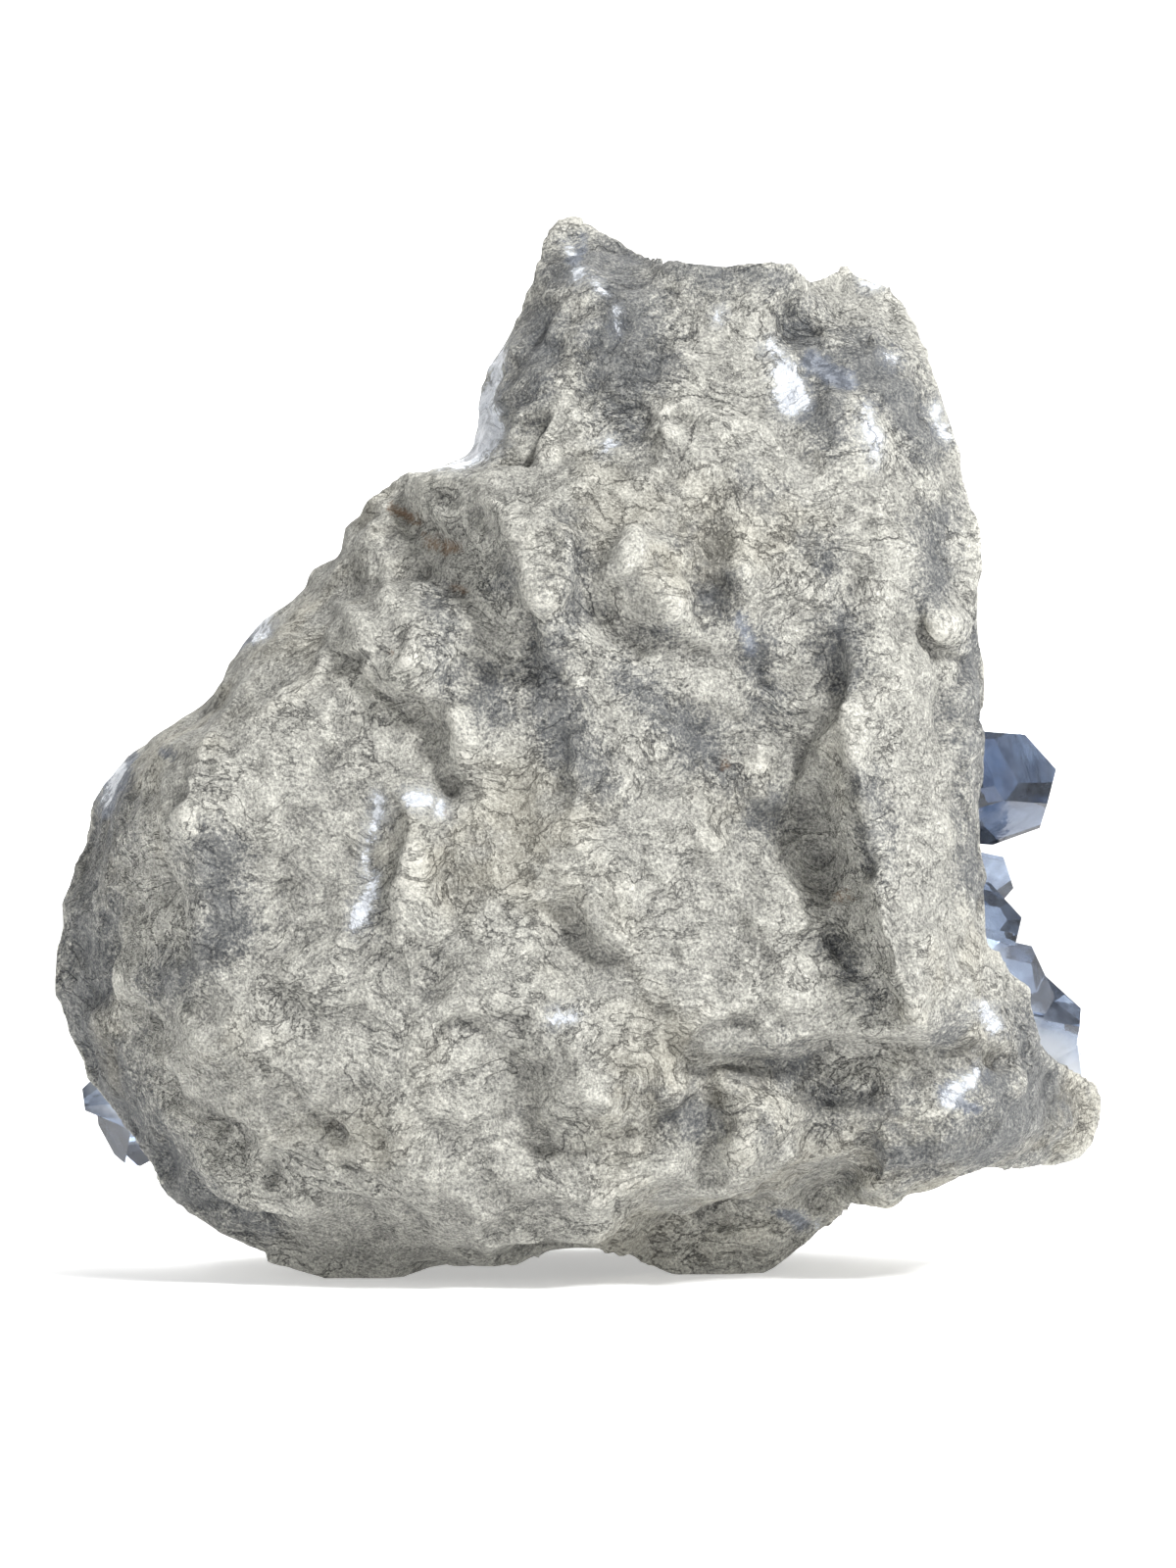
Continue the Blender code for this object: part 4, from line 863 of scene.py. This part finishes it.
rng = random.Random(DRUSE_SEED)
kinds = [small_crystal(f"small_crystal_{i}", length, rng) for i, length in enumerate(CRYSTAL_LENGTHS)]
grow = Tree("grow druse", [
    ("Spacing", "NodeSocketFloat"), ("Smallest", "NodeSocketFloat"), ("Largest", "NodeSocketFloat"),
    ("Lean", "NodeSocketFloat"), *((crystal.name, "NodeSocketObject") for crystal in kinds)])
given = grow.given
seats = grow.node("GeometryNodeInputNamedAttribute", {"data_type": "FLOAT"}, {"Name": "seat"})
spots = grow.node("GeometryNodeDistributePointsOnFaces", {"distribute_method": "POISSON"}, {
    "Mesh": given["Geometry"], "Distance Min": given["Spacing"], "Density Max": MOST_TO_A_METRE_SQUARED,
    "Density Factor": seats["Attribute"], "Seed": DRUSE_SEED})

# Each crystal leans a little and turns any way about its own length.
leans = grow.node("ShaderNodeCombineXYZ", None, {"X": given["Lean"], "Y": given["Lean"], "Z": math.pi})
opposite = grow.node("ShaderNodeVectorMath", {"operation": "SCALE"}, {0: leans["Vector"], "Scale": -1.0})
turns = grow.node("FunctionNodeRandomValue", {"data_type": "FLOAT_VECTOR"}, {
    "Min": opposite["Vector"], "Max": leans["Vector"], "Seed": TURN_SEED})
turned = grow.node("FunctionNodeEulerToRotation", None, {"Euler": turns["Value"]})
stood = grow.node("FunctionNodeRotateRotation", {"rotation_space": "LOCAL"}, {
    "Rotation": spots["Rotation"], "Rotate By": turned["Rotation"]})
shapes = grow.node("GeometryNodeJoinGeometry")
for crystal in reversed(kinds):
    shape = grow.node("GeometryNodeObjectInfo", None, {"Object": given[crystal.name], "As Instance": True})
    grow.tree.links.new(shape["Geometry"], shapes["Geometry"].node.inputs["Geometry"])

# Each has one of the shapes, and small sizes are more common than large ones. On a Random Value node,
# sockets 4 and 5 take whole numbers and output 2 gives one, and sockets 2 and 3 take plain numbers for
# output 1.
last = len(kinds) - 1
which = grow.node("FunctionNodeRandomValue", {"data_type": "INT"}, {4: 0, 5: last, "Seed": KIND_SEED})
sizes = grow.node("FunctionNodeRandomValue", {"data_type": "FLOAT"}, {2: 0.0, 3: 1.0, "Seed": SIZE_SEED})
mostly_small = grow.node("ShaderNodeMath", {"operation": "POWER"}, {0: sizes[1], 1: 2.0})
size = grow.node("ShaderNodeMapRange", None, {
    "Value": mostly_small["Value"], "To Min": given["Smallest"], "To Max": given["Largest"]})
placed = grow.node("GeometryNodeInstanceOnPoints", None, {
    "Points": spots["Points"], "Instance": shapes["Geometry"], "Pick Instance": True,
    "Instance Index": which[2], "Rotation": stood["Rotation"], "Scale": size["Result"]})
made = grow.node("GeometryNodeRealizeInstances", None, {"Geometry": placed["Instances"]})
finished = grow.node("GeometryNodeSetMaterial", None, {"Geometry": made["Geometry"], "Material": celestite})
grow.node("NodeGroupOutput", None, {"Geometry": finished["Geometry"]})

druse = merged_copy("crystal_crust", "druse")
remeshed(druse, SEAT_VOXEL)
seat_points = points_of(druse.data)
seat_depth = distances_to(rock_surface, seat_points)
opens = normals_of(druse.data)[:, 1] > EDGE_FACING
on_rind = (seat_depth > ON_RIND[0]) & (seat_depth < ON_RIND[1])
on_edge = (seat_depth > ON_EDGE[0]) & (seat_depth < ON_EDGE[1]) & opens
inside = np.abs(seat_points[:, 0]) < DRUSE_HALF_WIDTH * MM
add_field(druse.data, "seat", ((on_rind | on_edge) & inside).astype(float))
grow.put_on(druse, {
    "Spacing": DRUSE_SPACING * MM, "Smallest": DRUSE_SIZES[0] * MM, "Largest": DRUSE_SIZES[1] * MM,
    "Lean": math.radians(DRUSE_LEAN), **{crystal.name: crystal for crystal in kinds}})
settled(druse)
for crystal in kinds:
    bpy.data.objects.remove(crystal)
add_crystal_fields(druse, DRUSE_HAZE)
print("druse", len(druse.data.polygons), "faces")

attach(druse, "root")
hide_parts("crystal_crust")

# The studio
# A plain white table that glows a little, one soft light high on the right, a weaker one behind, a pale
# room and a lit wall at the far end. All of it is in metres.
HALF_FLOOR = 3.0
WALL_PLACE = 2.5
PAPER_WHITE = (0.93, 0.93, 0.93, 1.0)
PAPER_ROUGHNESS = 0.9
PAPER_GLOW = 0.35
WHITE = (1.0, 1.0, 1.0, 1.0)
WALL_GLOW = 1.0
ROOM_GLOW = 0.42
LIGHTS_AIM = Vector((0, 0, 0.09))

# The lights: the name, the place, the size and the power in watts.
LIGHTS = [
    ("key light", (0.75, -0.85, 1.15), 0.3, 28.0),
    ("back light", (0.2, 1.0, 0.9), 0.8, 12.0),
]


def sheet(name, corners, glow):
    """A four-cornered sheet of a white that glows, and its shader."""
    mesh = bpy.data.meshes.new(name)
    mesh.from_pydata(corners, [], [(0, 1, 2, 3)])
    material, _, shader = new_material(name, WHITE)
    shader.inputs["Emission Color"].default_value = WHITE
    shader.inputs["Emission Strength"].default_value = glow
    mesh.materials.append(material)
    return added(name, mesh), shader


near_left, near_right = (-HALF_FLOOR, -HALF_FLOOR, 0), (HALF_FLOOR, -HALF_FLOOR, 0)
far_right, far_left = (HALF_FLOOR, HALF_FLOOR, 0), (-HALF_FLOOR, HALF_FLOOR, 0)
floor, paper = sheet("floor", [near_left, near_right, far_right, far_left], PAPER_GLOW)
paper.inputs["Base Color"].default_value = PAPER_WHITE
paper.inputs["Roughness"].default_value = PAPER_ROUGHNESS

for name, place, size, power in LIGHTS:
    lamp = bpy.data.lights.new(name, "AREA")
    lamp.size = size
    lamp.energy = power
    light = added(name, lamp)
    light.location = place
    light.rotation_euler = (LIGHTS_AIM - Vector(place)).to_track_quat("-Z", "Y").to_euler()

room = bpy.data.worlds.new("room")
room.use_nodes = True
room.node_tree.nodes["Background"].inputs["Color"].default_value = WHITE
room.node_tree.nodes["Background"].inputs["Strength"].default_value = ROOM_GLOW
bpy.context.scene.world = room
bpy.context.scene.view_settings.view_transform = "Standard"

low_left, low_right = (-HALF_FLOOR, WALL_PLACE, 0), (HALF_FLOOR, WALL_PLACE, 0)
high_right, high_left = (HALF_FLOOR, WALL_PLACE, HALF_FLOOR), (-HALF_FLOOR, WALL_PLACE, HALF_FLOOR)
wall, _ = sheet("wall", [low_left, low_right, high_right, high_left], WALL_GLOW)
